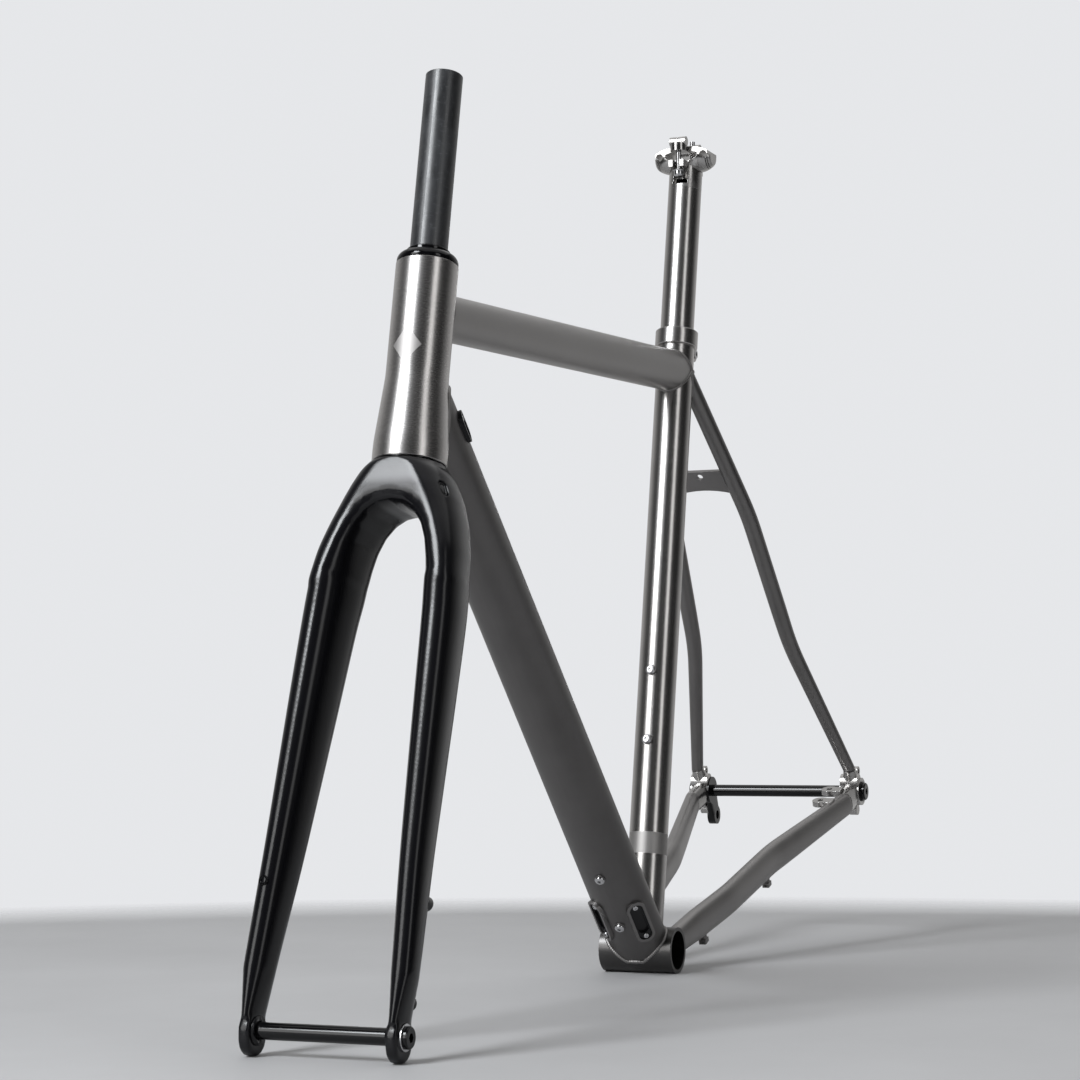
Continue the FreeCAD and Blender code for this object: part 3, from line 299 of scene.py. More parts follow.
def band(tree, turn, origin, half_height):
    # 1 within a band round a tube, 0 elsewhere
    split = node(tree, "ShaderNodeSeparateXYZ")
    tree.links.new(local(tree, turn, origin=origin), split.inputs[0])
    far = maths(tree, "ABSOLUTE", split.outputs[2])
    return ramp(tree, far, 1, 0, half_height - 0.0003, half_height + 0.0003)


BRUSH_MARKS = (220, 220, 12000)      # marks per metre across and along the tube's axis
BRUSH_SPREAD = 0.007                 # of the roughness, over the marks
ETCHED_MATTE = 0.26                  # roughness that the etching adds


def brushed(turn, etched=None):
    # brush marks run round the tube, so the noise is fine along its axis
    def build(tree, shader, colour, roughness):
        marks = speckle(tree, local(tree, turn, BRUSH_MARKS), 1.0, 3.0, 0.7)
        cloud = speckle(tree, local(tree), 16.0, 3.0)
        rough = ramp(tree, marks, roughness - BRUSH_SPREAD, roughness + BRUSH_SPREAD, 0.3, 0.7)
        tone = blend(tree, ramp(tree, cloud, 0, 1, 0.35, 0.65), shades(colour, 0.93),
                     shades(colour, 1.05))
        if etched:
            mask = etched[0](tree, turn, *etched[1:])
            rough = maths(tree, "MULTIPLY_ADD", mask, ETCHED_MATTE, rough)
            tone = blend(tree, mask, tone, shades(colour, 0.75))
        tree.links.new(rough, shader.inputs["Roughness"])
        tree.links.new(tone, shader.inputs["Base Color"])
        bump(tree, shader, marks, 0.01, 0.00012, 0.0004)
    return build


def blasted(grain=2600.0, strength=0.16):
    # bead-blasted metal: an even grain with faint clouds
    spread = 0.04

    def build(tree, shader, colour, roughness):
        fine = speckle(tree, local(tree), grain, 2.0, 0.5)
        cloud = speckle(tree, local(tree), 22.0, 4.0)
        tree.links.new(ramp(tree, cloud, roughness - spread, roughness + spread, 0.3, 0.7),
                       shader.inputs["Roughness"])
        tree.links.new(blend(tree, ramp(tree, cloud, 0, 1, 0.3, 0.7),
                             shades(colour, 0.92), shades(colour, 1.06)),
                       shader.inputs["Base Color"])
        bump(tree, shader, fine, strength, 0.00006, 0.0003)
    return build


def polished(edge=0.0005):
    # smooth metal whose edges catch the light over this radius
    def build(tree, shader, colour, roughness):
        fine = speckle(tree, local(tree), 700.0, 4.0)
        cloud = speckle(tree, local(tree), 60.0, 4.0)
        tree.links.new(ramp(tree, cloud, roughness * 0.7, roughness * 1.5, 0.3, 0.7),
                       shader.inputs["Roughness"])
        bump(tree, shader, fine, 0.05, 0.0001, edge)
    return build


def painted(grain=900.0):
    # an even coat, or moulded plastic, with a faint grain
    def build(tree, shader, colour, roughness):
        fine = speckle(tree, local(tree), grain, 3.0)
        cloud = speckle(tree, local(tree), 9.0, 5.0)
        tree.links.new(ramp(tree, cloud, roughness - 0.03, roughness + 0.04, 0.3, 0.7),
                       shader.inputs["Roughness"])
        bump(tree, shader, fine, 0.03, 0.0001)
    return build


TURN_HEAD = (0, -STEER_LEAN, 0)
TURN_SEAT = (0, -SEAT_LEAN, 0)
TURN_SHELL = (math.pi / 2, 0, 0)


def bare_carbon(tree, shader, colour, roughness):
    # unpainted laminate: fine rings, clouds along the tube, and pale scuffs
    marks = speckle(tree, local(tree, TURN_HEAD, (80, 80, 1600)), 1.0, 4.0, 0.6)
    cloud = speckle(tree, local(tree, TURN_HEAD, (1, 1, 0.45)), 60.0, 7.0, 0.7)
    scuffs = speckle(tree, local(tree, TURN_HEAD, (160, 160, 420)), 1.0, 5.0, 0.75)
    worn = ramp(tree, scuffs, 0, 1, 0.56, 0.74)
    base = blend(tree, ramp(tree, cloud, 0, 1, 0.3, 0.72), shades(colour, 0.45),
                 shades(colour, 1.5))
    tree.links.new(blend(tree, maths(tree, "MULTIPLY", worn, 0.7), base,
                         shades(colour, 4.0)), shader.inputs["Base Color"])
    tree.links.new(ramp(tree, cloud, roughness - 0.08, roughness + 0.12, 0.3, 0.7),
                   shader.inputs["Roughness"])
    bump(tree, shader, marks, 0.05, 0.0002)


# the middles of the etched badge and band, in metres, and their half sizes
BADGE = (tuple((HEAD_BASE + S_UP * 86.0) * 0.001), 0.0115, 0.0140)
ETCHED_BAND = (tuple(P_UP * 0.094), 0.0095)
M = {
    "head": material("titanium_head", (0.50, 0.485, 0.475), 1.0, 0.27,
                     brushed(TURN_HEAD, (lozenge, *BADGE))),
    "seat": material("titanium_seat", (0.47, 0.457, 0.447), 1.0, 0.25,
                     brushed(TURN_SEAT, (band, *ETCHED_BAND))),
    # the bottom bracket shell's brushed titanium, darkened far below the other brushed titanium
    # as painted shade
    "shell": material("titanium_shell_painted_shade", (0.078, 0.076, 0.075), 1.0, 0.32,
                      brushed(TURN_SHELL)),
    # the tubes and stays are all one blasted titanium: the darker copy is darkened as painted
    # shade, the lighter copy lightened as painted light
    "blasted": material("titanium_blasted", (0.215, 0.208, 0.205), 1.0, 0.42, blasted()),
    "blasted_painted_shade": material("titanium_blasted_painted_shade", (0.150, 0.145, 0.143), 1.0, 0.42,
                             blasted()),
    "blasted_painted_light": material("titanium_blasted_painted_light", (0.310, 0.301, 0.297), 1.0, 0.42,
                              blasted()),
    "polished": material("titanium_polished", (0.44, 0.431, 0.422), 1.0, 0.23, polished()),
    "stainless": material("stainless", (0.58, 0.58, 0.59), 1.0, 0.16, polished(0.0003)),
    "bearing": material("bearing_steel", (0.62, 0.62, 0.63), 1.0, 0.16, polished(0.0002)),
    "fork": material("fork_paint", (0.005, 0.005, 0.0062), 0.0, 0.20, painted(), specular=0.32),
    "steerer": material("bare_carbon", (0.026, 0.0275, 0.030), 0.0, 0.34, bare_carbon,
                        specular=0.7),
    "anodised": material("black_anodised", (0.003, 0.003, 0.0035), 0.0, 0.07, polished(),
                         specular=0.32),
    "plastic": material("black_nylon", (0.009, 0.009, 0.010), 0.0, 0.36, painted(1500.0),
                        specular=0.25),
    "plug": material("plug_rubber", (0.006, 0.006, 0.007), 0.0, 0.20, painted(1500.0),
                     specular=0.6),
    "weld": material("titanium_weld", (0.27, 0.262, 0.257), 1.0, 0.44, blasted(1200, 0.1)),
}
BY_SLOT = {"ti_brushed": "seat", "ti_blasted": "blasted", "ti_polished": "polished",
           "stainless": "stainless", "bearing_steel": "bearing", "carbon_painted": "fork",
           "carbon_raw": "steerer", "black_anodised": "anodised", "black_plastic": "plastic"}
BY_NODE = {"upper_port_frames": "plastic", "head_tube": "head", "seat_tube": "seat",
           # the top tube takes the copy lightened as painted light, the down tube the copy
           # darkened as painted shade
           "top_tube": "blasted_painted_light", "down_tube": "blasted_painted_shade", "seatpost_tube": "seat",
           # the bottom bracket shell takes the copy darkened as painted shade
           "seat_collar": "seat", "bottom_bracket_shell": "shell"}

for part in frame["record"]["subparts"]:
    name = part["node"]
    look_of = M[BY_NODE.get(name) or BY_SLOT[part["material_slot"]]]
    slots = NODES[name].data.materials
    if not slots:
        slots.append(look_of)
    for i in range(len(slots)):
        slots[i] = look_of


def finish_piece(obj, key, body, slot, *nodes):
    obj.data.materials.clear()
    obj.data.materials.append(M[key])
    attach(obj, body)
    if nodes:
        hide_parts(*nodes)


# ---------------------------------------------------------------------- fork
BLADE_O = Vector((482.98, 0, 364.11))
blade_dir = Vector((125.76, 0, -354.96)).normalized()
blade_fw = Vector((-blade_dir.z, 0, blade_dir.x))
TOE = math.radians(8.0)
# length along the blade's line, then: side of its middle, half depth, half width
SIDE_T = ((0, 42.0), (62, 43.6), (89, 45.3), (150, 47.5), (210, 49.5), (268, 51.6),
          (347, 55.6), (380, 56.5))
DEPTH_T = ((0, 29.0), (62, 28.2), (89, 26.3), (150, 23.6), (210, 20.8), (268, 18.1),
           (347, 13.8), (380, 13.0))
WIDTH_T = ((0, 14.6), (62, 14.4), (89, 14.25), (150, 13.15), (210, 11.85), (268, 10.5),
           (347, 8.9), (380, 8.0))
BLADE_POWER = 2.3
BLADE_SPAN = (62, 347)     # lengths between which the blade has its own sections
# the crown's sections across the steering axis: height, side at which the round
# outer part starts, width of that part
CROWN_ROWS = ((-1, 0.4, 27.5), (-3, 7.0, 21.8), (-5, 11.0, 18.8), (-8, 13.6, 19.1),
              (-12, 15.7, 19.9), (-16, 17.9, 19.8), (-20, 20.2, 19.6), (-25, 22.8, 19.2),
              (-30, 25.2, 19.0), (-36, 28.0, 18.3), (-42, 30.6, 17.8), (-50, 33.8, 17.0),
              (-60, 37.2, 16.1), (-70, 40.2, 15.2), (-80, 42.2, 14.3), (-92.4, 43.6, 14.2),
              (-104, 44.4, 14.3))
# height, shift forward and toe of the crown's sections
SHIFT_ROWS = ((0, 0, 0), (-22, 0, 0.02), (-32, 0.6, 0.034), (-42, 1.9, 0.05),
              (-52, 3.7, 0.066), (-62, 5.5, 0.084), (-72, 7.2, 0.104), (-82, 8.6, 0.124),
              (-92.4, 9.97, 0.14), (-104, 11.55, 0.14))
CROWN_DEPTH = 28.1         # how far forward and back the tunnel's walls round over
CROWN_SECTIONS = 96        # 1 mm apart
# how far the crown's front and back bulge past the head tube: depth below it, bulge
BULGE_ROWS = ((0, 0), (6, 0.95), (14, 2.0), (22, 2.45), (32, 2.1), (46, 1.2), (62, 0.4),
              (80, 0), (92.4, 0.2), (104, -0.4))
# the wheel tunnel: half width, height
TUNNEL = ((30.5, -110.0), (29.5, -92.4), (28.4, -77.5), (26.4, -64.0), (22.5, -52.0),
          (16.5, -43.0), (9.0, -37.8), (0.0, -36.0))
TUNNEL_TOP = TUNNEL[-1][1]
BLOCK_END = 60             # how far the cutter of the tunnel reaches forward and back
TIP_R = 13.4
TIP_IN = 51.4              # sides of the tip's inner and outer faces
TIP_OUT = 60.0
TIP_DROP = 4.05            # how far the tip's round foot lies below the axle
BOSS_R = 10.2              # the hub's seat on the tip's inner face
BOSS_IN = 50
BOSS_OUT = 52
AXLE_BORE_R = 6.1
WASHER_BORE_R = 9.9
STEER_BORE_R = 20.0


def steer_point(fw, side, up):
    return HEAD_BASE + S_FW * fw + Y * side + S_UP * up


def blade_ring(t, count=96):
    c = BLADE_O + blade_dir * t + Y * table_at(SIDE_T, t)
    a_dir = blade_fw * math.cos(TOE) + Y * math.sin(TOE)
    b_dir = Y * math.cos(TOE) - blade_fw * math.sin(TOE)
    return oval(c, a_dir, table_at(DEPTH_T, t), b_dir, table_at(WIDTH_T, t), BLADE_POWER,
                count)


def columns(rows):
    # splits (x, a, b, ...) rows into one table for each of a, b, ...
    return [tuple((row[0], row[k]) for row in rows) for k in range(1, len(rows[0]))]


CROWN_TABLES = columns([(-row[0], *row[1:]) for row in CROWN_ROWS])
SHIFT_TABLES = columns([(-row[0], *row[1:]) for row in SHIFT_ROWS])


def crown_ring(s, arc=40, flat=14):
    # two round sides, joined by a flat front and a flat back
    middle, half = [table_at(t, -s) for t in CROWN_TABLES]
    shift, toe = [table_at(t, -s) for t in SHIFT_TABLES]
    depth = HEAD_R_BOT + table_at(BULGE_ROWS, -s)
    power = 2 + (BLADE_POWER - 2) * min(1.0, (-s - 1) / 60)
    right_side = []
    for i in range(arc + 1):
        t = math.pi * (i / arc - 0.5)
        fw = depth * math.copysign(abs(math.sin(t)) ** (2 / power), math.sin(t))
        side = middle + fw * toe + half * max(0.0, math.cos(t)) ** (2 / power)
        right_side.append((fw, side))
    front = [(depth, right_side[-1][1] * (1 - 2 * k / flat)) for k in range(1, flat)]
    left_side = [(fw, -side) for fw, side in right_side[::-1]]
    back = [(-depth, -right_side[0][1] * (1 - 2 * k / flat)) for k in range(1, flat)]
    return [steer_point(fw + shift, side, s)
            for fw, side in right_side + front + left_side + back]


def flipped(rings):
    return [[Vector((p.x, -p.y, p.z)) for p in ring] for ring in rings]


def fork_side(steps=90, end_steps=8):
    # one blade, which ends inside its tip
    top, bottom = BLADE_SPAN
    rings = [blade_ring(top + (bottom - top) * i / steps) for i in range(steps + 1)]
    start = rings[-1]
    middle = Vector((FRONT_AXLE.x - 0.2, 55.7, FRONT_AXLE.z + 6))
    end = oval(middle, blade_fw, TIP_R - 0.3, Y, 4.7, BLADE_POWER, len(start))
    return rings + straight(start, end, end_steps)[1:]


def tunnel():
    # the arch; its walls round over towards the front and the back
    half = []
    for (ya, sa), (yb, sb) in zip(TUNNEL, TUNNEL[1:]):
        half += [(ya + (yb - ya) * k / 6, sa + (sb - sa) * k / 6) for k in range(6)]
    half.append(TUNNEL[-1])
    line = half + [(-y, s) for y, s in half[-2::-1]]
    rings = []
    steps = [math.sin(math.pi * k / 48) for k in range(-24, 25)]
    for fw in [-BLOCK_END] + [CROWN_DEPTH * k for k in steps] + [BLOCK_END]:
        part = min(1.0, abs(fw) / CROWN_DEPTH)
        ring = []
        for i, (y, s) in enumerate(line):
            ya, sa = line[max(0, i - 1)]
            yb, sb = line[min(len(line) - 1, i + 1)]
            length = math.hypot(yb - ya, sb - sa)
            # 0 at the arch's top and 1 where the blades start, which round over more
            w = min(1.0, max(0.0, (TUNNEL_TOP - s) / 56))
            power = 3.2 - 0.95 * w
            grow = (9 + 5.8 * w) * (1 - max(0.0, 1 - part ** power) ** (1 / power))
            shift, toe = [table_at(t, -s) for t in SHIFT_TABLES]
            lean = toe * max(-CROWN_DEPTH, min(CROWN_DEPTH, fw))
            side = y + lean * max(-1.0, min(1.0, y / 10))
            ring.append(steer_point(fw + shift, side + grow * (sb - sa) / length,
                                    s - grow * (yb - ya) / length))
        rings.append(ring)
    return skin("tunnel", rings)


def fork_moulding():
    # crown, blades and tips, merged into one skin
    crown = skin("fork_crown_body", [crown_ring(-1 - i) for i in range(CROWN_SECTIONS)])
    minus(crown, tunnel())
    blade = fork_side()
    pieces = [crown, skin("fork_half_left", blade), skin("fork_half_right", flipped(blade))]
    foot = Vector((FRONT_AXLE.x, 0, FRONT_AXLE.z - TIP_DROP))
    for side in (1, -1):
        for centre in (foot, FRONT_AXLE, (foot + FRONT_AXLE) * 0.5):
            pieces.append(rod("tip", TIP_R, centre + Y * TIP_IN * side,
                              centre + Y * TIP_OUT * side))
    obj = joined("fork_moulding", pieces)
    remesh(obj, 1.1)
    return obj


def relax(obj, rule):
    # smooths each vertex by as many rounds as rule(position in mm) asks for
    made = bmesh.new()
    made.from_mesh(obj.data)
    rounds = [rule(v.co * 1000) for v in made.verts]
    for step in range(max(rounds)):
        chosen = [v for v, n in zip(made.verts, rounds) if n > step]
        bmesh.ops.smooth_vert(made, verts=chosen, factor=0.5, use_axis_x=True,
                              use_axis_y=True, use_axis_z=True)
    made.to_mesh(obj.data)
    made.free()


def fork_rule(p):
    # little at the crown's sharp top, and most where the crown meets the blades
    s = (p - HEAD_BASE).dot(S_UP)
    if s > -2.0:
        return 1
    return int(min(8, 2 + (-2.0 - s) * 0.6)) + int(max(0, 10 - abs(s + 95) * 0.6))


fork = fork_moulding()
relax(fork, fork_rule)
bosses = [rod("boss", BOSS_R, FRONT_AXLE + Y * BOSS_IN * side, FRONT_AXLE + Y * BOSS_OUT * side)
          for side in (1, -1)]
fork = joined("fork_moulding", [fork] + bosses)
minus(fork, rod("bore", AXLE_BORE_R, FRONT_AXLE - Y * 80, FRONT_AXLE + Y * 80),
      rod("steer_bore", STEER_BORE_R, steer_point(0, 0, -30), steer_point(0, 0, 10)),
      rod("seat_left", WASHER_BORE_R, FRONT_AXLE + Y * TIP_OUT, FRONT_AXLE + Y * 70))

# the oval port on the crown's left shoulder, and the plug that fills it
PORT_AT = steer_point(18.5, 38.7, -24.5)
port_out = (S_FW * 0.37 + Y * 0.83 + S_UP * 0.41).normalized()
port_long = (S_UP - Y * 0.15 - port_out * (S_UP - Y * 0.15).dot(port_out)).normalized()
port_wide = port_out.cross(port_long)
PORT_R = 4.0
PORT_REACH = 2.5           # from the port's middle to the centre of each round end
# (growth, height) of the sections of the port, which flares at its mouth, and of the plug
PORT_ROWS = ((0, -5.5), (0, -1.0), (0.2, -0.4), (0.8, 0.1), (2.4, 0.9))
PLUG_ROWS = ((-0.6, -5.4), (-0.6, -1.6), (-0.8, -1.2), (-1.2, -1.0), (-1.6, -1.2),
             (-1.8, -1.7), (-1.9, -2.7), (-2.1, -2.7), (-2.5, -1.7), (-3.0, -1.1), (-3.6, -0.9))


def port_ring(grow, height, count=48):
    ring = []
    for i in range(count):
        t = math.tau * i / count
        end = math.copysign(PORT_REACH, math.cos(t))
        ring.append(PORT_AT + port_out * height
                    + port_long * (end + (PORT_R + grow) * math.cos(t))
                    + port_wide * (PORT_R + grow) * math.sin(t))
    return ring


minus(fork, skin("port", [port_ring(*row) for row in PORT_ROWS]))
finish_piece(fork, "fork", "fork", "carbon_painted", "fork_crown", "fork_blade_left",
             "fork_blade_right", "fork_tip_left", "fork_tip_right")
finish_piece(skin("crown_port_plug", [port_ring(*row) for row in PLUG_ROWS]),
             "plug", "fork", "black_plastic", "fork_port_plug")

# --------------------------------------------------------------------- stays
# a stay's path is (length along the line from A to B, side)
CHAIN_A = Vector((-14, 0, 4))
CHAIN_B = Vector((-389.56, 0, 122.19))
chain_dir = (CHAIN_B - CHAIN_A).normalized()
chain_n = Vector((chain_dir.z, 0, -chain_dir.x))
CHAIN_PATH = ((0, 22), (110, 41), (215, 50.5), (374, 82.5))
CHAIN_BEND = 260
STAY_A = Vector((-393.0, 0, 144.0))
STAY_B = Vector((-100.5, 0, 530.8))
stay_dir = (STAY_B - STAY_A).normalized()
stay_n = Vector((-stay_dir.z, 0, stay_dir.x))
STAY_PATH = ((9, 82.3), (166, 50.3), (322, 39.3), (483, 10.0))
STAY_BEND = 330
STAY_STEP = 2.5
# half height of a chainstay: at its front end, along its middle and at its dropout
CHAIN_HIGH = (12.0, 14.5, 11.7)
CHAIN_WIDE = (8.6, 7.6)    # its half width along most of its length, and at its dropout
SEATSTAY_R = (6.1, 7.85)   # at its dropout, and along its upper part
SINK = 0.4                 # how far a stay reaches into the tube that it meets


def resampled(line, marks, count, spans):
    # count points along the line, whose points lie at the lengths in marks
    out = []
    k = 1
    for i in range(count):
        want = marks[-1] * i / spans
        while k < len(marks) - 1 and marks[k] < want:
            k += 1
        w = (want - marks[k - 1]) / max(1e-9, marks[k] - marks[k - 1])
        out.append(line[k - 1].lerp(line[k], w))
    return out


def lengths(line):
    # the length along the line to each of its points
    marks = [0.0]
    for a, b in zip(line, line[1:]):
        marks.append(marks[-1] + (b - a).length)
    return marks


def bent_path(points, radius, step):
    # runs joined by arcs of up to this radius, as evenly spaced points
    pts = [Vector(p) for p in points]
    fine = [pts[0]]
    for i in range(1, len(pts) - 1):
        p, a, b = pts[i], pts[i - 1], pts[i + 1]
        ua = (a - p).normalized()
        ub = (b - p).normalized()
        half_turn = ua.angle(ub) / 2
        cut = min(radius / math.tan(half_turn), 0.48 * min((a - p).length, (b - p).length))
        r = cut * math.tan(half_turn)
        centre = p + (ua + ub).normalized() * (r / math.sin(half_turn))
        start, end = p + ua * cut, p + ub * cut
        for k in range(25):
            w = k / 24
            d = ((start - centre) * (1 - w) + (end - centre) * w).normalized()
            fine.append(centre + d * r)
    fine.append(pts[-1])
    marks = lengths(fine)
    spans = round(marks[-1] / step)
    return resampled(fine, marks, spans + 1, spans)


def stay_rings(line, plane_n, sizes, power, count=56):
    rings = []
    for i, p in enumerate(line):
        d = (line[min(len(line) - 1, i + 1)] - line[max(0, i - 1)]).normalized()
        side = plane_n.cross(d).normalized()
        a, b = sizes(i / (len(line) - 1))
        rings.append(oval(p, plane_n, a, side, b, power, count))
    return rings


def eased(w, start, end, low, high):
    # a straight slope from low to high, level before its start and after its end
    return low + (high - low) * min(1.0, max(0.0, (w - start) / (end - start)))


def chain_sizes(w):
    front, middle, rear = CHAIN_HIGH
    a = eased(w, 0, 0.12, front, middle) if w < 0.12 else eased(w, 0.62, 1, middle, rear)
    return a, eased(w, 0.7, 1, *CHAIN_WIDE)


def seat_sizes(w):
    r = eased(w, 0, 0.42, *SEATSTAY_R)
    return r, r


chain_line = [CHAIN_A + chain_dir * p.x + Y * p.y
              for p in bent_path(CHAIN_PATH, CHAIN_BEND, STAY_STEP)]
stay_line = [STAY_A + stay_dir * p.x + Y * p.y
             for p in bent_path(STAY_PATH, STAY_BEND, STAY_STEP)]
chain_rings = stay_rings(chain_line, chain_n, chain_sizes, 2.3)
seat_rings = stay_rings(stay_line, stay_n, seat_sizes, 2.0)
BOTH_SIDES = {"left": (chain_rings, seat_rings),
              "right": (flipped(chain_rings), flipped(seat_rings))}
for side, (lower, upper) in BOTH_SIDES.items():
    stay = skin("chainstay_drawn_" + side, lower)
    minus(stay, rod("cut", BB_R - SINK, -Y * 60, Y * 60),
          rod("cut2", SEAT_R - SINK, Vector((0, 0, 0)), P_UP * 60))
    # the chainstays take the copy of the blasted titanium lightened as painted light
    finish_piece(stay, "blasted_painted_light", "frame", "ti_blasted", "chainstay_" + side)
    stay = skin("seatstay_drawn_" + side, upper)
    minus(stay, rod("cut", SEAT_R - SINK, P_UP * 400, P_UP * 579))
    finish_piece(stay, "blasted", "frame", "ti_blasted", "seatstay_" + side)


# --------------------------------------------------------------- weld beads
BEAD_PITCH = 1.9           # length of one ripple
BEAD_STEP = 0.32           # between the sections of a bead


# each out_of_ function gives how far a point lies outside a tube, less than 0 inside it
def out_of_rod(o, axis, r):
    def distance(p):
        q = p - o
        return (q - axis * q.dot(axis)).length - r
    return distance


def out_of_head(p):
    q = p - HEAD_BASE
    s = q.dot(S_UP)
    return (q - S_UP * s).length - eased(s, *HEAD_CONE, HEAD_R_BOT, HEAD_R_TOP)


down_dir = DOWN_A.normalized()
down_n = Vector((down_dir.z, 0, -down_dir.x))
top_dir = (TOP_A - TOP_B).normalized()
top_n = Vector((-top_dir.z, 0, top_dir.x))


def out_of_down(p):
    along = p.dot(down_dir)
    w = along / DOWN_A.length
    a = DOWN_SIZES[0] * (1 - w) + DOWN_SIZES[2] * w
    b = DOWN_SIZES[1] * (1 - w) + DOWN_SIZES[3] * w
    return (math.hypot(p.dot(down_n) / a, p.y / b) - 1) * min(a, b)


out_of_seat = out_of_rod(Vector((0, 0, 0)), P_UP, SEAT_R)
out_of_shell = out_of_rod(Vector((0, 0, 0)), Y, BB_R)


def either(*fields):
    return lambda p: min(f(p) for f in fields)


def crossing(line, field):
    # the first place where the line, walked from outside, meets the surface
    for a, b in zip(line, line[1:]):
        if field(a) > 0 and field(b) <= 0:
            for step in range(26):
                m = (a + b) * 0.5
                if field(m) > 0:
                    a = m
                else:
                    b = m
            return a
    return None


def bead(name, rings, field, radius=1.7):
    # a rippled bead along the loop where the tube through the rings meets the surface
    hits = [crossing(line, field) for line in zip(*rings)]
    hits = [h for h in hits if h is not None]
    closed = hits + [hits[0]]
    marks = lengths(closed)
    count = int(marks[-1] / BEAD_STEP)
    loop = resampled(closed, marks, count, count)
    ripples = round(marks[-1] / BEAD_PITCH)
    made = []
    for i in range(count):
        d = (loop[(i + 2) % count] - loop[i - 2]).normalized()
        u, v = across(d)
        phase = (i / count * ripples) % 1.0
        r = radius * (0.90 + 0.13 * math.sqrt(max(0.0, 1 - (2 * phase - 1) ** 2)))
        shift = noise.noise(loop[i] * 0.13) * 0.18
        made.append(oval(loop[i] + v * shift, u, r, v, r, 2, 12))
    finish_piece(skin(name, made, closed=True), "weld", "frame", "ti_blasted")


def tube_rings(a, b, n, sizes, count):
    high_a, wide_a, high_b, wide_b = sizes
    return straight(oval(a, n, high_a, Y, wide_a, 2, count),
                    oval(b, n, high_b, Y, wide_b, 2, count))


top_rings = tube_rings(TOP_B, TOP_A, top_n, TOP_SIZES, 120)
down_rings = tube_rings(Vector((0, 0, 0)), DOWN_A, down_n, DOWN_SIZES, 140)
seat_tube_rings = tube_rings(Vector((0, 0, 0)), P_UP * 300, P_FW, (SEAT_R,) * 4, 120)
bead("weld_top_head", top_rings, out_of_head)
bead("weld_top_seat", top_rings[::-1], out_of_seat, 1.5)
bead("weld_down_head", down_rings, out_of_head)
bead("weld_down_shell", down_rings[::-1], either(out_of_shell, out_of_seat))
bead("weld_seat_shell", seat_tube_rings[::-1], either(out_of_shell, out_of_down))
for side, (lower, upper) in BOTH_SIDES.items():
    bead("weld_chainstay_" + side, lower[::-1],
         either(out_of_shell, out_of_seat, out_of_down), 1.4)
    bead("weld_seatstay_" + side, upper, out_of_seat, 1.3)

# -------------------------------------------------- camera, light and floor
# in metres from here on
YAW, PITCH, ROLL = (math.radians(a) for a in (22.866, 3.77, -0.357))
CAMERA_AT = (2.15717, 0.81302, 0.21549)
FOCAL_LENGTH = 85.16       # millimetres, for a sensor 36 mm wide
FLOOR_Z = -0.0203
FLOOR_MIDDLE = (0.9, 0.35, 0)
FLOOR_FADE = (1.72, 1.98)  # distances between which the floor fades out
WORLD_LIGHT = (0.022, 0.55)          # from behind the camera, and from ahead of it
WORLD_FACING = (-0.1, 0.9)           # how far ahead a direction points for each of these
# name, place, target, width, height, watts and colour of each soft box
LIGHTS = (
    ("left_low", (3.97, -1.70, 1.30), (0.45, 0, 0.4), 1.75, 2.2, 52, (1, 1, 1)),
    ("left_high", (3.24, -1.34, 2.97), (0.45, 0, 0.4), 1.3, 1.5, 150, (0.94, 0.97, 1.0)),
    ("strip_right", (1.66, 2.65, 1.3), (0.3, 0, 0.45), 0.8, 2.6, 12, (1, 1, 1)),
    ("overhead", (-0.2, 0.2, 3.2), (0.1, 0, 0), 4.6, 4.6, 45, (1, 1, 1)),
)
look = Vector((-math.cos(YAW) * math.cos(PITCH), -math.sin(YAW) * math.cos(PITCH),
               math.sin(PITCH)))
right = look.cross(Vector((0, 0, 1))).normalized()
up = right.cross(look)
right, up = (right * math.cos(ROLL) + up * math.sin(ROLL),
             up * math.cos(ROLL) - right * math.sin(ROLL))
lens = bpy.data.cameras.new("camera")
lens.lens = FOCAL_LENGTH
lens.sensor_width = 36.0
lens.clip_start = 0.05
lens.clip_end = 100
camera = bpy.data.objects.new("camera", lens)
camera.matrix_world = Matrix(((right.x, up.x, -look.x, CAMERA_AT[0]),
                              (right.y, up.y, -look.y, CAMERA_AT[1]),
                              (right.z, up.z, -look.z, CAMERA_AT[2]), (0, 0, 0, 1)))
bpy.context.scene.collection.objects.link(camera)
bpy.context.scene.camera = camera

bpy.ops.mesh.primitive_circle_add(vertices=128, radius=9, fill_type="NGON",
                                  location=(0.1, 0, FLOOR_Z))
floor = bpy.context.object
floor.name = "floor"


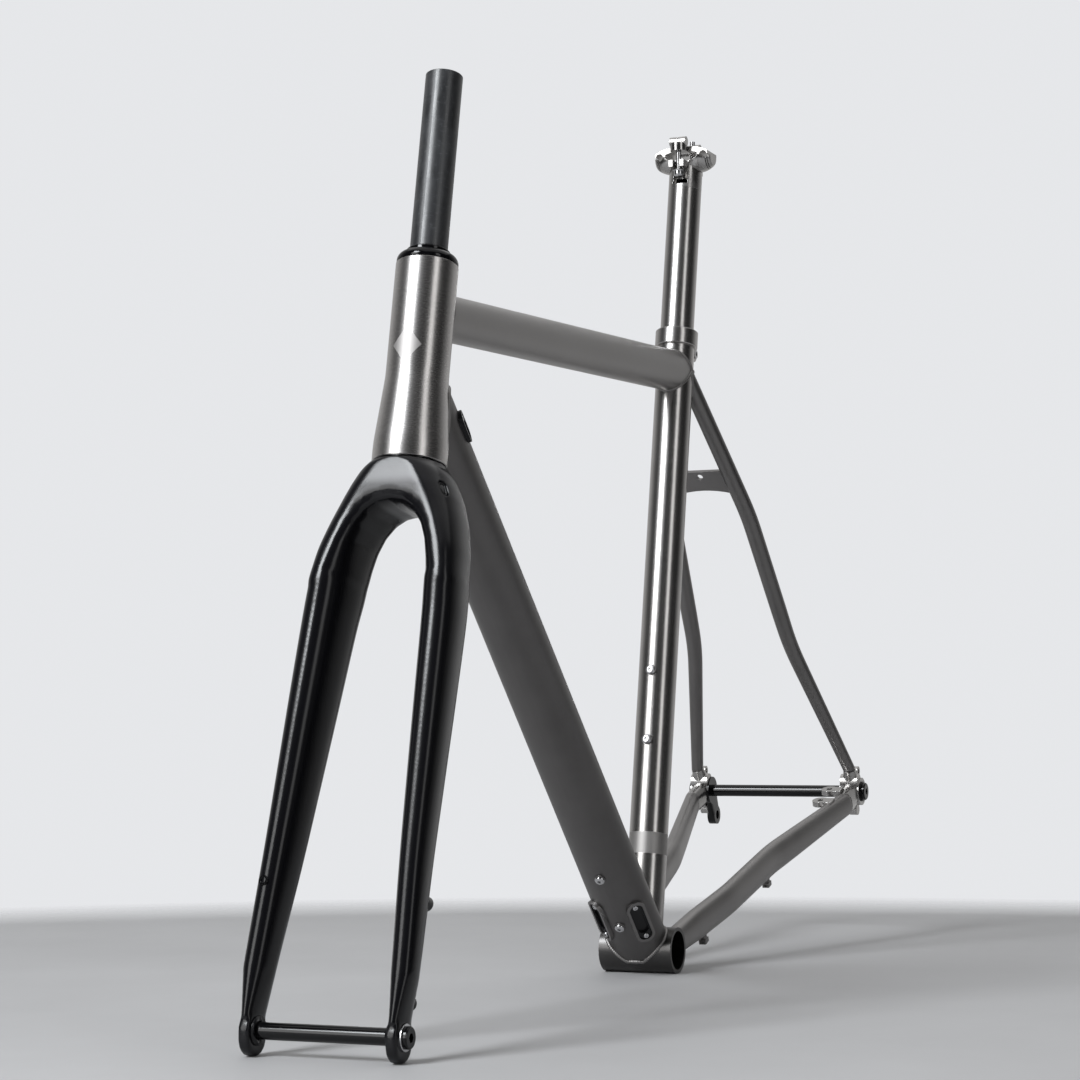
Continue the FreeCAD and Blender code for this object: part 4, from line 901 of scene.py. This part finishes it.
def floor_build(tree, shader, colour, roughness):
    # faint clouds, and an edge that fades into the background
    cloud = speckle(tree, local(tree), 2.2, 8.0, 0.6)
    tree.links.new(blend(tree, ramp(tree, cloud, 0, 1, 0.3, 0.7), shades(colour, 0.93),
                         shades(colour, 1.05)), shader.inputs["Base Color"])
    reach_out = node(tree, "ShaderNodeVectorMath", operation="LENGTH")
    tree.links.new(local(tree, origin=FLOOR_MIDDLE), reach_out.inputs[0])
    gone = node(tree, "ShaderNodeBsdfTransparent")
    fade = node(tree, "ShaderNodeMixShader")
    edge = ramp(tree, reach_out.outputs["Value"], 0, 1, *FLOOR_FADE)
    tree.links.new(edge, fade.inputs["Fac"])
    tree.links.new(shader.outputs["BSDF"], fade.inputs[1])
    tree.links.new(gone.outputs["BSDF"], fade.inputs[2])
    out = [n for n in tree.nodes if n.type == "OUTPUT_MATERIAL"][0]
    tree.links.new(fade.outputs["Shader"], out.inputs["Surface"])


floor.data.materials.append(material("floor", (0.46, 0.46, 0.466), 0.0, 0.6, floor_build,
                                     specular=0.2))


def soft_box(name, place, target, width, height, power, colour):
    lamp = bpy.data.lights.new(name, "AREA")
    lamp.shape = "RECTANGLE"
    lamp.size = width
    lamp.size_y = height
    lamp.energy = power
    lamp.color = colour
    obj = bpy.data.objects.new(name, lamp)
    obj.location = place
    aim = Vector(target) - Vector(place)
    obj.rotation_mode = "QUATERNION"
    obj.rotation_quaternion = aim.to_track_quat("-Z", "Y")
    bpy.context.scene.collection.objects.link(obj)


for light in LIGHTS:
    soft_box(*light)

# the camera sees a pale background; other rays see a room that is brighter ahead
world = bpy.data.worlds.new("studio")
bpy.context.scene.world = world
world.use_nodes = True
tree = world.node_tree
tree.nodes.clear()
out = node(tree, "ShaderNodeOutputWorld")
pale = node(tree, "ShaderNodeBackground", Color=(0.79, 0.80, 0.82, 1), Strength=1.0)
dim = node(tree, "ShaderNodeBackground", Strength=1.0)
coords = node(tree, "ShaderNodeTexCoord")
facing = node(tree, "ShaderNodeVectorMath", operation="DOT_PRODUCT")
facing.inputs[1].default_value = (look.x, look.y, 0)
tree.links.new(coords.outputs["Generated"], facing.inputs[0])
level = ramp(tree, facing.outputs["Value"], *WORLD_LIGHT, *WORLD_FACING, "SMOOTHSTEP")
tree.links.new(level, dim.inputs["Color"])
ray = node(tree, "ShaderNodeLightPath")
pick = node(tree, "ShaderNodeMixShader")
tree.links.new(ray.outputs["Is Camera Ray"], pick.inputs["Fac"])
tree.links.new(dim.outputs["Background"], pick.inputs[1])
tree.links.new(pale.outputs["Background"], pick.inputs[2])
tree.links.new(pick.outputs["Shader"], out.inputs["Surface"])
bpy.context.scene.view_settings.view_transform = "Standard"
